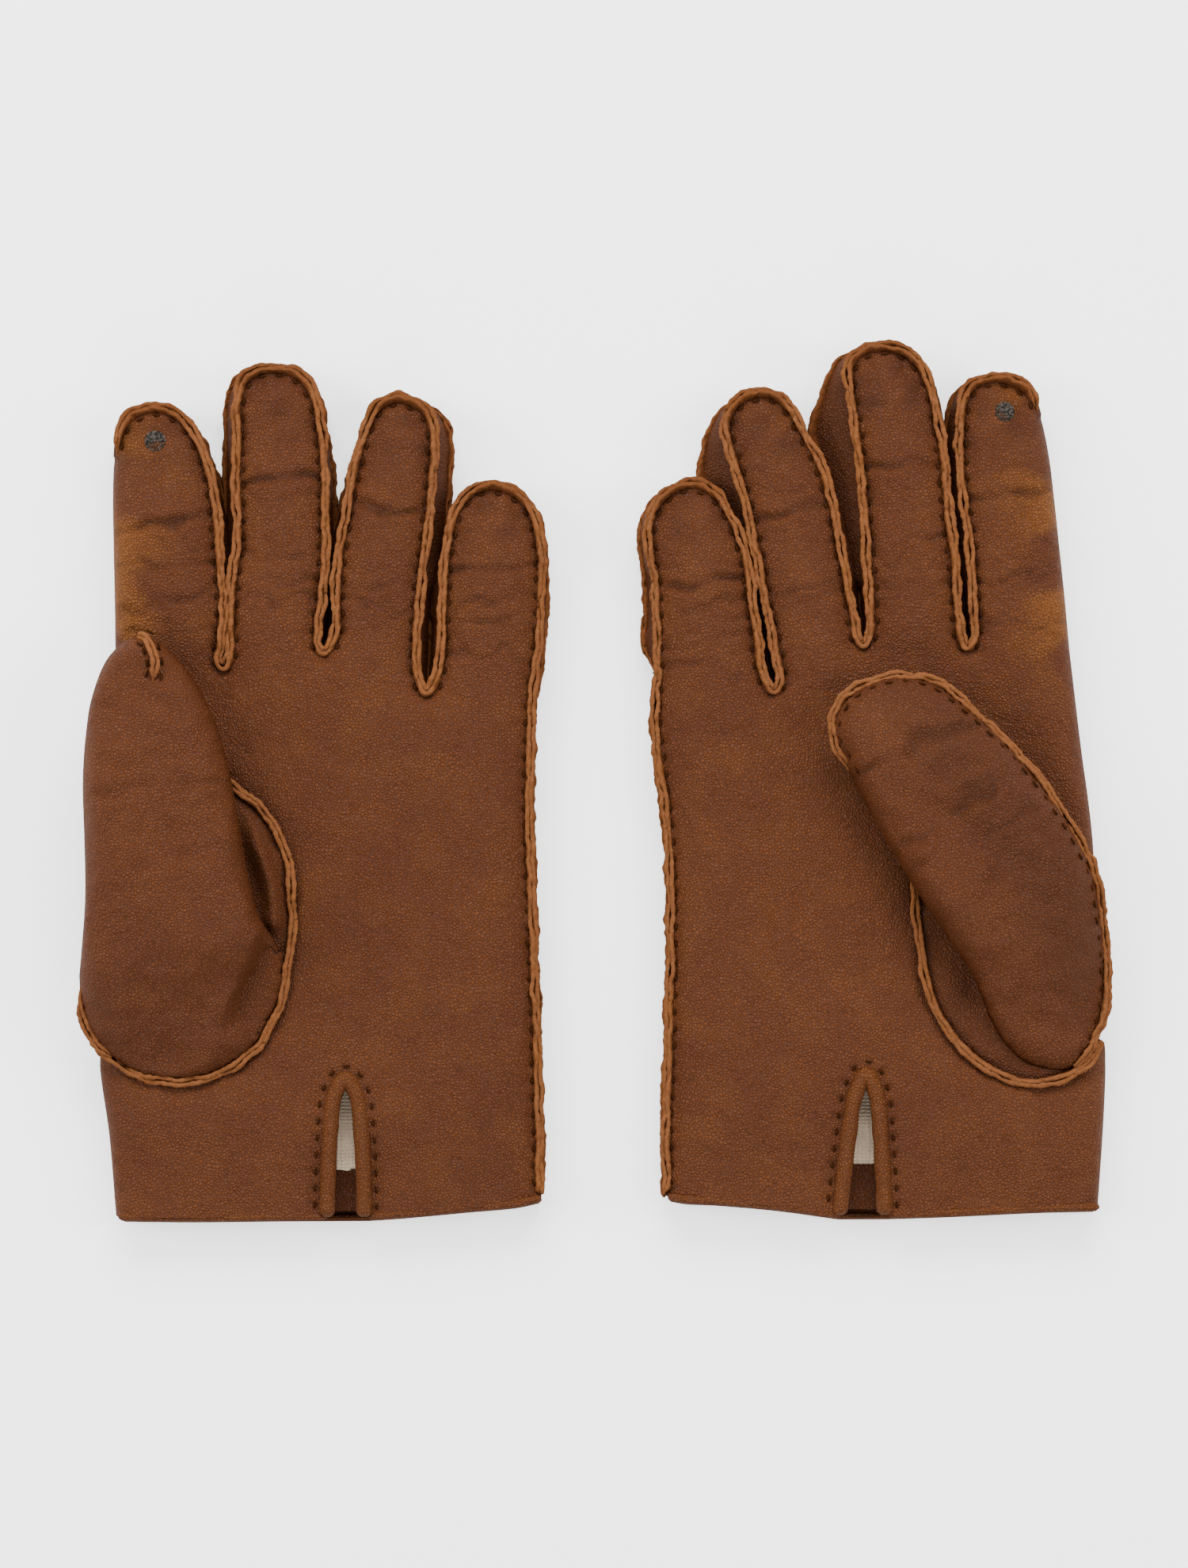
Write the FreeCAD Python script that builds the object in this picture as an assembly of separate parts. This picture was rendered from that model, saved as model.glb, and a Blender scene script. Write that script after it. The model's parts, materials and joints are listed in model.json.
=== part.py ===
"""A pair of lined leather gloves lying palm up on a table, in millimetres.

+X runs from the left glove to the right one, +Y from the cuffs to the fingertips, +Z up from the table.
The origin is under the middle of the pair. Each glove is a box-finger glove: the trank is one piece of
leather folded at the index side, with its palm and back joined by a side seam at the little-finger side
and by fourchettes between the fingers. A thumb is set into an oval in the palm, the cuff has a bound
vent and a turned hem, and a knitted lining fills the inside. Every digit folds at its root and at one
crease, so its leather and lining are made in a base length and a tip length.
"""

import FreeCAD, Part
import math
import os

from FreeCAD import Vector

LEATHER = 1.1  # thickness of the skin
KNIT = 0.7  # thickness of the lining
EASE = 0.15  # between leather and lining
SEW_GAP = 0.1  # between two pieces sewn together
FOLD_GAP = 0.4  # from a fold line to the solids on each side of it

HAND_HEIGHT = 13.0
FINGER_HEIGHT = 15.0
THUMB_FLOOR = HAND_HEIGHT + 1.6  # underside of the thumb, clear of the palm and of its gusset's rim
THUMB_HEIGHT = 15.0

SEAM_FLANGE = 2.0  # how far the side seam's raw edges stand out
HEM_DEPTH = 12.0  # turned leather inside the cuff
BINDING_RADIUS = 2.15
BINDING_RISE = 0.6  # how far the binding stands above the palm
VENT_HALF_SPAN = 4.5  # from the vent's middle to the middle of its binding
TOUCH_RADIUS = 2.6
TOUCH_THICKNESS = 0.3
PAST = 6.0  # how far a cutting tool runs past the face that it opens
GUSSET_HOLE_RIM = 5.5  # from the gusset's rim to the edge of the hole in the palm

# A digit starts at "root", the middle of its fold line, and points "heading" degrees from +Y towards +X.
# "edges" gives (distance from the root, left edge, right edge), and the tip is an arc from the last pair.
# "outer" is the side with no fourchette: the trank's fold on an index finger, the side seam on a little one.
GLOVES = {
    "left": {
        "fold": "left",
        "digits": {
            "index": {
                "root": (-110.4, 40.1), "heading": -2.6, "crease": 27.7, "length": 58.4,
                "edges": [(0.0, -14.7, 14.3), (27.7, -14.0, 13.6), (49.3, -12.4, 11.1)],
            },
            "middle": {
                "root": (-82.4, 40.1), "heading": -1.1, "crease": 39.7, "length": 68.7,
                "edges": [(0.0, -12.6, 12.8), (20.0, -13.0, 14.2), (39.7, -14.0, 13.5), (60.5, -11.2, 11.2)],
            },
            "ring": {
                "root": (-55.5, 38.0), "heading": 5.0, "crease": 33.6, "length": 63.2,
                "edges": [(0.0, -12.1, 12.1), (15.0, -12.8, 13.4), (33.6, -13.0, 13.8), (52.0, -10.4, 12.4)],
            },
            "little": {
                "root": (-28.8, 28.7), "heading": 2.8, "crease": 23.8, "length": 49.3,
                "edges": [(0.0, -13.0, 14.0), (11.0, -11.6, 14.7), (23.8, -10.2, 14.7), (40.0, -9.4, 12.4)],
            },
            "thumb": {
                "root": (-111.3, -50.0), "heading": -3.2, "crease": 50.7, "length": 89.0,
                "edges": [(0.0, -21.3, 21.4), (36.0, -19.0, 21.6), (50.7, -18.8, 20.5), (69.0, -16.4, 15.0),
                          (80.0, -11.6, 10.4)],
            },
        },
        "fold_edge": [(-124.7, -114.0), (-128.9, -72.8), (-132.2, -50.0), (-131.5, -23.0), (-127.4, 18.0)],
        "seam_edge": [(-18.2, 6.0), (-17.4, -27.0), (-16.2, -72.8), (-15.6, -97.6), (-15.8, -110.0)],
        "hem_middle": (-66.0, -114.0),
        "oval": {"centre": (-106.0, -40.7), "half_width": 26.0, "half_length": 37.6},
        "gusset_back": (-25.5, 0.0),
        "vent": {"x": -64.7, "top": -75.9},
        "touch": (49.5, -2.0),
    },
    "right": {
        "fold": "right",
        "digits": {
            "index": {
                "root": (110.7, 39.0), "heading": -5.6, "crease": 36.3, "length": 67.4,
                "edges": [(0.0, -12.4, 12.9), (36.3, -13.4, 12.8), (57.5, -12.9, 11.2)],
            },
            "middle": {
                "root": (83.8, 39.0), "heading": -6.5, "crease": 43.6, "length": 75.6,
                "edges": [(0.0, -11.8, 12.0), (22.0, -14.2, 12.1), (43.6, -16.0, 12.7), (54.0, -16.8, 12.7),
                          (66.0, -15.2, 11.6)],
            },
            "ring": {
                "root": (56.5, 35.9), "heading": -11.8, "crease": 35.5, "length": 68.1,
                "edges": [(0.0, -12.0, 12.1), (18.0, -11.2, 12.1), (35.5, -10.2, 12.1), (46.0, -10.8, 11.2),
                          (53.0, -14.0, 10.8), (58.0, -13.6, 9.8)],
            },
            "little": {
                "root": (29.9, 28.7), "heading": -4.3, "crease": 23.1, "length": 50.2,
                "edges": [(0.0, -15.2, 12.6), (10.0, -16.0, 12.0), (23.1, -16.4, 11.2), (40.0, -13.3, 10.0)],
            },
            "thumb": {
                "root": (116.4, -44.8), "heading": -32.7, "crease": 44.7, "length": 86.9,
                "edges": [(0.0, -18.4, 17.0), (15.0, -17.8, 21.4), (38.0, -17.6, 22.0), (55.0, -16.4, 20.6),
                          (70.0, -16.0, 16.6), (80.0, -13.5, 10.0)],
            },
        },
        "fold_edge": [(132.2, -111.0), (132.6, -97.6), (133.0, -65.0), (132.6, -31.4), (127.6, 2.0)],
        "seam_edge": [(19.3, 2.0), (21.4, -18.9), (21.4, -64.5), (20.5, -89.3), (20.3, -108.6)],
        "hem_middle": (61.4, -112.6),
        "oval": {"centre": (108.4, -42.7), "half_width": 24.2, "half_length": 35.4},
        "gusset_back": (-16.9, -1.0),
        "vent": {"x": 70.9, "top": -72.8},
        "touch": (58.0, 2.3),
    },
}
FINGERS = ("index", "middle", "ring", "little")
TWO_SIDES = ("left", "right")


def plan(points):
    """Closed face in the XY plane through the points."""
    vectors = [Vector(x, y, 0) for x, y in points]
    return Part.Face(Part.makePolygon(vectors + vectors[:1]))


def prism(face, low, high):
    """The face as a solid from height low to height high."""
    solid = face.copy()
    solid.translate(Vector(0, 0, low))
    return solid.extrude(Vector(0, 0, high - low))


def fused(first, *others):
    return first.fuse(list(others)).removeSplitter()


def point(digit, along, across):
    """Plan position at a distance along and across a digit."""
    turn = math.radians(digit["heading"])
    x, y = digit["root"]
    return (
        x + along * math.sin(turn) + across * math.cos(turn),
        y + along * math.cos(turn) - across * math.sin(turn),
    )


def outward(side):
    return -1 if side == "left" else 1


def other(side):
    return "right" if side == "left" else "left"


def edge(digit, side, along):
    """Distance across from the digit's middle line to one edge."""
    column = 1 if side == "left" else 2
    rows = digit["edges"]
    for near, far in zip(rows, rows[1:]):
        if along <= far[0]:
            share = (along - near[0]) / (far[0] - near[0])
            return near[column] + share * (far[column] - near[column])
    return rows[-1][column]


def shoulder(digit):
    """Distance along the digit where its tip arc starts."""
    return digit["edges"][-1][0]


def edge_points(digit, side, start, end, inset):
    """Plan points along one edge from start to end, moved in by inset."""
    stops = [start] + [row[0] for row in digit["edges"] if start < row[0] < end] + [end]
    return [point(digit, u, edge(digit, side, u) - outward(side) * inset) for u in stops]


def band(digit, side, start, end, inset, width):
    """Face of an upright wall along one edge."""
    near = edge_points(digit, side, start, end, inset)
    far = edge_points(digit, side, start, end, inset + width)
    return plan(near + far[::-1])


def tip_arc(digit, inset):
    """Arc round the tip from the left shoulder to the right one."""
    end = shoulder(digit)
    left = edge(digit, "left", end) + inset
    right = edge(digit, "right", end) - inset
    stops = [(end, left), (digit["length"] - inset, (left + right) / 2), (end, right)]
    return Part.Arc(*[Vector(*point(digit, u, v), 0) for u, v in stops]).toShape()


def outline(digit, start, end, inset):
    """Face of a length of the digit. A length that reaches the tip is closed by its arc."""
    if end < digit["length"]:
        left = edge_points(digit, "left", start, end, inset)
        right = edge_points(digit, "right", start, end, inset)
        return plan(left + right[::-1])
    left = edge_points(digit, "left", start, shoulder(digit), inset)
    right = edge_points(digit, "right", start, shoulder(digit), inset)
    line = Part.makePolygon([Vector(x, y, 0) for x, y in [*right[::-1], *left]])
    return Part.Face(Part.Wire([*line.Edges, tip_arc(digit, inset)]))


def tip_wall(digit, inset, width):
    """Face of the wall round the tip."""
    outer, inner = tip_arc(digit, inset), tip_arc(digit, inset + width)
    joins = [
        Part.makeLine(outer.Vertexes[k].Point, inner.Vertexes[k].Point)
        for k in range(2)
    ]
    return Part.Face(Part.Wire(Part.__sortEdges__([outer, inner, *joins])))


def sleeve(digit, start, end, inset, width, floor, height):
    """Tube of the given wall round a length of the digit, closed at the tip."""
    closed = end >= digit["length"]
    outer = prism(outline(digit, start, end, inset), floor + inset, floor + height - inset)
    inner_end = digit["length"] if closed else end + PAST
    hollow = outline(digit, start - PAST, inner_end, inset + width)
    return outer.cut(prism(hollow, floor + inset + width, floor + height - inset - width))


def seamed_halves(digit, side, start, end):
    """Front and back strips that meet at a side seam with their raw edges turned out."""
    middle = FINGER_HEIGHT / 2
    last = min(end, shoulder(digit))
    face = outline(digit, start, end, 0)
    wall = band(digit, side, start, last, 0, LEATHER)
    flange = band(digit, side, start, last, -SEAM_FLANGE, SEAM_FLANGE + LEATHER)
    front = fused(
        prism(face, FINGER_HEIGHT - LEATHER, FINGER_HEIGHT),
        prism(wall, middle + SEW_GAP / 2, FINGER_HEIGHT),
        prism(flange, middle + SEW_GAP / 2, middle + LEATHER),
    )
    back = fused(
        prism(face, 0, LEATHER),
        prism(wall, 0, middle - SEW_GAP / 2),
        prism(flange, middle - LEATHER, middle - SEW_GAP / 2),
    )
    return [front, back]


def finger_leather(name, digit, fold, start, end):
    """The trank's strips and the fourchettes of one length of a finger, as two lists of solids."""
    face = outline(digit, start, end, 0)
    front = prism(face, FINGER_HEIGHT - LEATHER, FINGER_HEIGHT)
    back = prism(face, 0, LEATHER)
    last = min(end, shoulder(digit))
    walls = {
        side: prism(
            band(digit, side, start, last, 0, LEATHER),
            LEATHER + SEW_GAP,
            FINGER_HEIGHT - LEATHER - SEW_GAP,
        )
        for side in TWO_SIDES
    }
    if name == "index":
        wrap = prism(band(digit, fold, start, last, 0, LEATHER), 0, FINGER_HEIGHT)
        return [fused(front, back, wrap)], [walls[other(fold)]]
    if name == "little":
        return seamed_halves(digit, other(fold), start, end), [walls[fold]]
    return [front, back], list(walls.values())


def finger_nodes(name, digit, fold, touch):
    """Nodes of one finger by name."""
    crease, length = digit["crease"], digit["length"]
    strips, walls = finger_leather(name, digit, fold, FOLD_GAP, crease - FOLD_GAP)
    tip_strips, tip_walls = finger_leather(name, digit, fold, crease + FOLD_GAP, length)
    cap = prism(
        tip_wall(digit, SEW_GAP, LEATHER),
        LEATHER + SEW_GAP,
        FINGER_HEIGHT - LEATHER - SEW_GAP,
    )
    cap = cap.cut(tip_walls + tip_strips)
    inset = LEATHER + EASE
    base_lining = sleeve(digit, FOLD_GAP, crease - FOLD_GAP, inset, KNIT, 0, FINGER_HEIGHT)
    tip_lining = sleeve(digit, crease + FOLD_GAP, length, inset + SEW_GAP, KNIT, 0, FINGER_HEIGHT)
    nodes = {
        f"{name}_trank_base": strips,
        f"{name}_fourchette_base": walls,
        f"{name}_lining_base": [base_lining],
        f"{name}_tip": tip_strips + tip_walls + cap.Solids,
        f"{name}_tip_lining": [tip_lining],
    }
    if name == "index":
        x, y = point(digit, *touch)
        base = Vector(x, y, FINGER_HEIGHT + SEW_GAP)
        nodes["index_touch_patch"] = [Part.makeCylinder(TOUCH_RADIUS, TOUCH_THICKNESS, base)]
    return nodes


def thumb_nodes(digit):
    """Nodes of the free thumb, from its root fold to its tip."""
    crease, length = digit["crease"], digit["length"]
    spans = {"base": (FOLD_GAP, crease - FOLD_GAP), "tip": (crease + FOLD_GAP, length)}
    nodes = {}
    for part, (start, end) in spans.items():
        skin = sleeve(digit, start, end, 0, LEATHER, THUMB_FLOOR, THUMB_HEIGHT)
        knit = sleeve(digit, start, end, LEATHER + EASE, KNIT, THUMB_FLOOR, THUMB_HEIGHT)
        nodes[f"thumb_{part}"] = [skin]
        nodes[f"thumb_{part}_lining"] = [knit]
    return nodes


def ellipse(centre, half_width, half_length):
    """Upright elliptical face."""
    curve = Part.Ellipse(
        Vector(centre[0], centre[1] + half_length, 0),
        Vector(centre[0] + half_width, centre[1], 0),
        Vector(*centre, 0),
    )
    return Part.Face(Part.Wire(curve.toShape()))


def gusset(glove):
    """Leather that fills the oval: a rim on the palm and a hood that opens into the thumb."""
    digit, oval = glove["digits"]["thumb"], glove["oval"]
    rim_top = HAND_HEIGHT + SEW_GAP + LEATHER
    top = THUMB_FLOOR + THUMB_HEIGHT
    back_along, back_across = glove["gusset_back"]

    def footprint(inset, front):
        left = edge(digit, "left", 0) + inset
        right = edge(digit, "right", 0) - inset
        stops = [(-FOLD_GAP, left), (back_along + inset, back_across), (-FOLD_GAP, right)]
        corners = [(-FOLD_GAP, right), (front, right), (front, left), (-FOLD_GAP, left)]
        arc = Part.Arc(*[Vector(*point(digit, u, v), 0) for u, v in stops]).toShape()
        if front == -FOLD_GAP:
            corners = [corners[0], corners[-1]]
        line = Part.makePolygon([Vector(*point(digit, u, v), 0) for u, v in corners])
        return Part.Face(Part.Wire(Part.__sortEdges__([arc, *line.Edges])))

    rim = prism(
        ellipse(oval["centre"], oval["half_width"], oval["half_length"]),
        HAND_HEIGHT + SEW_GAP,
        rim_top,
    )
    hood = prism(footprint(0, -FOLD_GAP), HAND_HEIGHT + SEW_GAP, top)
    room = prism(footprint(LEATHER, PAST), rim_top, top - LEATHER)
    way_in = prism(footprint(LEATHER, -FOLD_GAP), 0, rim_top + PAST)
    return rim.fuse(hood).cut([room, way_in]).removeSplitter()


def hand_outline(glove):
    """Plan points round the hand, from the hem up the fold, over the finger roots and down the seam."""
    fold = glove["fold"]
    order = TWO_SIDES if fold == "left" else TWO_SIDES[::-1]
    points = list(glove["fold_edge"])
    for name in FINGERS:
        digit = glove["digits"][name]
        for side in order:
            points.append(point(digit, -FOLD_GAP, edge(digit, side, 0)))
    return points + glove["seam_edge"] + [glove["hem_middle"]]


def hand_tube(glove, inset, width, start_above_hem=0.0):
    """Flat tube round the hand, open at the cuff and at every finger root."""
    whole = plan(hand_outline(glove))
    face = Part.Face(whole.makeOffset2D(-inset).Wires[0]) if inset else whole
    inner = Part.Face(whole.makeOffset2D(-inset - width).Wires[0])
    low, high = inset, HAND_HEIGHT - inset
    tube = prism(face, low, high)
    hollow_low, hollow_high = low + width, high - width
    xs = [x for x, y in hand_outline(glove)]
    hem = min(y for x, y in hand_outline(glove))
    corners = [glove["fold_edge"][0], glove["seam_edge"][-1]]
    left, right = min(corners), max(corners)
    wall = inset + width
    mouth = plan(
        [
            (left[0] + wall, hem - PAST),
            (left[0] + wall, left[1] + wall + PAST),
            (right[0] - wall, right[1] + wall + PAST),
            (right[0] - wall, hem - PAST),
        ]
    )
    tools = [prism(inner, hollow_low, hollow_high), prism(mouth, hollow_low, hollow_high)]
    for name in FINGERS:
        digit = glove["digits"][name]
        channel = [
            (-PAST, edge(digit, "left", 0) + wall),
            (PAST, edge(digit, "left", 0) + wall),
            (PAST, edge(digit, "right", 0) - wall),
            (-PAST, edge(digit, "right", 0) - wall),
        ]
        tools.append(prism(plan([point(digit, u, v) for u, v in channel]), hollow_low, hollow_high))
    tube = tube.cut(tools)
    if start_above_hem:
        below = Part.makeBox(max(xs) - min(xs) + 2 * PAST, 2 * PAST + start_above_hem, 2 * HAND_HEIGHT)
        below.translate(Vector(min(xs) - PAST, hem - 2 * PAST, -PAST))
        tube = tube.cut(below)
    return tube


def vent_slot(glove, extra=0.0):
    """Tool that opens the palm over the vent."""
    vent = glove["vent"]
    half = VENT_HALF_SPAN + BINDING_RADIUS + SEW_GAP + extra
    centre_y = vent["top"] - VENT_HALF_SPAN - BINDING_RADIUS
    low = HAND_HEIGHT / 2
    hem = glove["hem_middle"][1] - PAST
    leg = Part.makeBox(2 * half, centre_y - hem, HAND_HEIGHT, Vector(vent["x"] - half, hem, low))
    end = Part.makeCylinder(half, HAND_HEIGHT, Vector(vent["x"], centre_y, low))
    return leg.fuse(end)


def thumb_hole(glove):
    """Tool that opens the palm under the thumb's gusset."""
    oval = glove["oval"]
    half_width, half_length = oval["half_width"], oval["half_length"]
    face = ellipse(oval["centre"], half_width - GUSSET_HOLE_RIM, half_length - GUSSET_HOLE_RIM)
    return prism(face, HAND_HEIGHT / 2, HAND_HEIGHT + PAST)


def vent_binding(glove):
    """Rolled leather round the vent: two legs and a half ring."""
    vent = glove["vent"]
    centre_y = vent["top"] - VENT_HALF_SPAN - BINDING_RADIUS
    height = HAND_HEIGHT + BINDING_RISE - BINDING_RADIUS
    hem = glove["hem_middle"][1]
    legs = [
        Part.makeCylinder(
            BINDING_RADIUS,
            centre_y - hem,
            Vector(vent["x"] + way * VENT_HALF_SPAN, hem, height),
            Vector(0, 1, 0),
        )
        for way in (-1, 1)
    ]
    section = Part.Face(
        Part.Wire(
            Part.makeCircle(
                BINDING_RADIUS,
                Vector(vent["x"] + VENT_HALF_SPAN, centre_y, height),
                Vector(0, 1, 0),
            )
        )
    )
    ring = section.revolve(Vector(vent["x"], centre_y, height), Vector(0, 0, 1), 180)
    return fused(ring, *legs)


def trank_hand(glove):
    """Palm and back in one piece, folded at the index side and open along the side seam."""
    out = -outward(glove["fold"])
    middle = HAND_HEIGHT / 2
    seam = glove["seam_edge"]
    little = glove["digits"]["little"]
    side = other(glove["fold"])
    top = point(little, -FOLD_GAP, edge(little, side, 0))
    line = [top, *seam]
    flange = plan([(x - out * LEATHER, y) for x, y in line] + [(x + out * SEAM_FLANGE, y) for x, y in line[::-1]])
    slit = plan([(x - out * 2 * LEATHER, y) for x, y in line] + [(x + out * PAST, y) for x, y in line[::-1]])
    shell = hand_tube(glove, 0, LEATHER)
    shell = shell.fuse(prism(flange, middle - LEATHER, middle + LEATHER))
    return shell.cut(
        [
            prism(slit, middle - SEW_GAP / 2, middle + SEW_GAP / 2),
            vent_slot(glove),
            thumb_hole(glove),
        ]
    ).removeSplitter()


def hem_facing(glove):
    """The hem turned in and sewn down inside the cuff."""
    turned = hand_tube(glove, LEATHER + SEW_GAP, LEATHER)
    xs = [x for x, y in hand_outline(glove)]
    above = Part.makeBox(max(xs) - min(xs) + 2 * PAST, 400, 2 * HAND_HEIGHT)
    above.translate(Vector(min(xs) - PAST, glove["hem_middle"][1] + HEM_DEPTH, -PAST))
    return turned.cut([above, vent_slot(glove, SEW_GAP)])


def hand_lining(glove):
    """Knitted lining of the hand, from above the hem to the finger roots."""
    tube = hand_tube(glove, LEATHER + EASE, KNIT, HEM_DEPTH + EASE)
    return tube.cut([vent_slot(glove, SEW_GAP), thumb_hole(glove)])


def glove_nodes(glove):
    nodes = {
        "trank_hand": [trank_hand(glove)],
        "hem_facing": [hem_facing(glove)],
        "hand_lining": [hand_lining(glove)],
        "vent_binding": [vent_binding(glove)],
        "thumb_gusset": [gusset(glove)],
    }
    for name in FINGERS:
        digit = glove["digits"][name]
        nodes.update(finger_nodes(name, digit, glove["fold"], glove["touch"]))
    nodes.update(thumb_nodes(glove["digits"]["thumb"]))
    return nodes


def main():
    os.makedirs("parts", exist_ok=True)
    for hand, glove in GLOVES.items():
        for name, solids in glove_nodes(glove).items():
            loose = [s for solid in solids for s in solid.Solids]
            shape = loose[0] if len(loose) == 1 else Part.makeCompound(loose)
            if not shape.isValid():
                print("not valid:", hand, name)
            shape.exportStep(f"parts/{hand}_{name}.step")
            print(f"{hand}_{name}", len(loose), "solids,", round(shape.Volume), "mm3")


main()
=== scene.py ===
import json
import math

import bpy
import numpy as np
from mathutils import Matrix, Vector, kdtree
from mathutils.geometry import delaunay_2d_cdt


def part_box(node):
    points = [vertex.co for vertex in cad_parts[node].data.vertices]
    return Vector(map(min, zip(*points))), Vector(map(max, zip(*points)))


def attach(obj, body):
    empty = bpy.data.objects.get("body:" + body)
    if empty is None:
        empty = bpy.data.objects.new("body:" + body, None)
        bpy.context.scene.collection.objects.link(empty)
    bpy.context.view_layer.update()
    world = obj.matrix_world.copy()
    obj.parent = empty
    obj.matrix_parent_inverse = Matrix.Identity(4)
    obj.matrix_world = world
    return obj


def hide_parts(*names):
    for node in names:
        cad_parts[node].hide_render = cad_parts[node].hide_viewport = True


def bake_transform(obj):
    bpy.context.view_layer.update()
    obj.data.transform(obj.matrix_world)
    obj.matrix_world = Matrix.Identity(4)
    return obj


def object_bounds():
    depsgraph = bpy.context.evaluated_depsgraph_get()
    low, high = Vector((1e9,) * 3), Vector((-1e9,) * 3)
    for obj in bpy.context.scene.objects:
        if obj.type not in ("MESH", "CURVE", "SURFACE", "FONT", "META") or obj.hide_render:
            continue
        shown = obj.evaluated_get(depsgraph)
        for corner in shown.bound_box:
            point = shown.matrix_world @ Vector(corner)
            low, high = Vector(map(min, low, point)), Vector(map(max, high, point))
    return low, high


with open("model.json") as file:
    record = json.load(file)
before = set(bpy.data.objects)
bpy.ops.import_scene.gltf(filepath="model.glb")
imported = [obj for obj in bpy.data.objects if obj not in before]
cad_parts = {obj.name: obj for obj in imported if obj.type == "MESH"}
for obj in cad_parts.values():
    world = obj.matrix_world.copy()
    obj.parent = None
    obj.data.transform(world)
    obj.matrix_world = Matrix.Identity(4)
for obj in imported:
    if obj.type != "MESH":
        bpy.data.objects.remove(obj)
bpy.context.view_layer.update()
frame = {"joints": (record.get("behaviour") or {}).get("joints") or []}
JOINTS = {j["name"]: j for j in frame["joints"]}

# All sizes are in millimetres and are scaled to metres when a mesh is made.
MM = 0.001
GRAIN_SPACING = 1.0
BACK_SPACING = 1.9
THUMB_SPACING = 1.1
LINING_SPACING = 3.2
SKIN = 1.0
KNIT = 0.6
FLOOR = 0.25
SEAM_Z = 10.4
BACK_SEAM_Z = 3.8
SIDE_FRONT_Z = 7.6
SIDE_BACK_Z = 6.0
FOLD_Z = 6.4
# The front's and the back's edge height, by what that edge is.
EDGE_Z = {
    "fold": (FOLD_Z, FOLD_Z),
    "oval": (SEAM_Z + 0.8, FOLD_Z),
    "side": (SIDE_FRONT_Z, SIDE_BACK_Z),
    "outer": (8.6, 5.0),
    "seam": (SEAM_Z, BACK_SEAM_Z),
    "hem": (10, 2),
    "vent": (11, 2),
}
FINGER_CROWN = 15.0
HAND_CROWN = 13.2
HEM_CROWN = 11.4
PUFF_RANGE = 6.0
BLEND_ROW = 1.0
LIP_WIDTH = 1.12
LIP_GAP = 0.02
LIP_HEIGHT = 2.2
STITCH_INSET = 1.8
STITCH_PITCH = 4.4
STITCH_LENGTH = 2.1
STITCH_RADIUS = 0.32
BINDING_RADIUS = 2.1
THUMB_SIDE_Z = 20.5
THUMB_ROOT_Z = 12.4
THUMB_CROWN = 27.8
THUMB_FLOOR = 15.3

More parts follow.
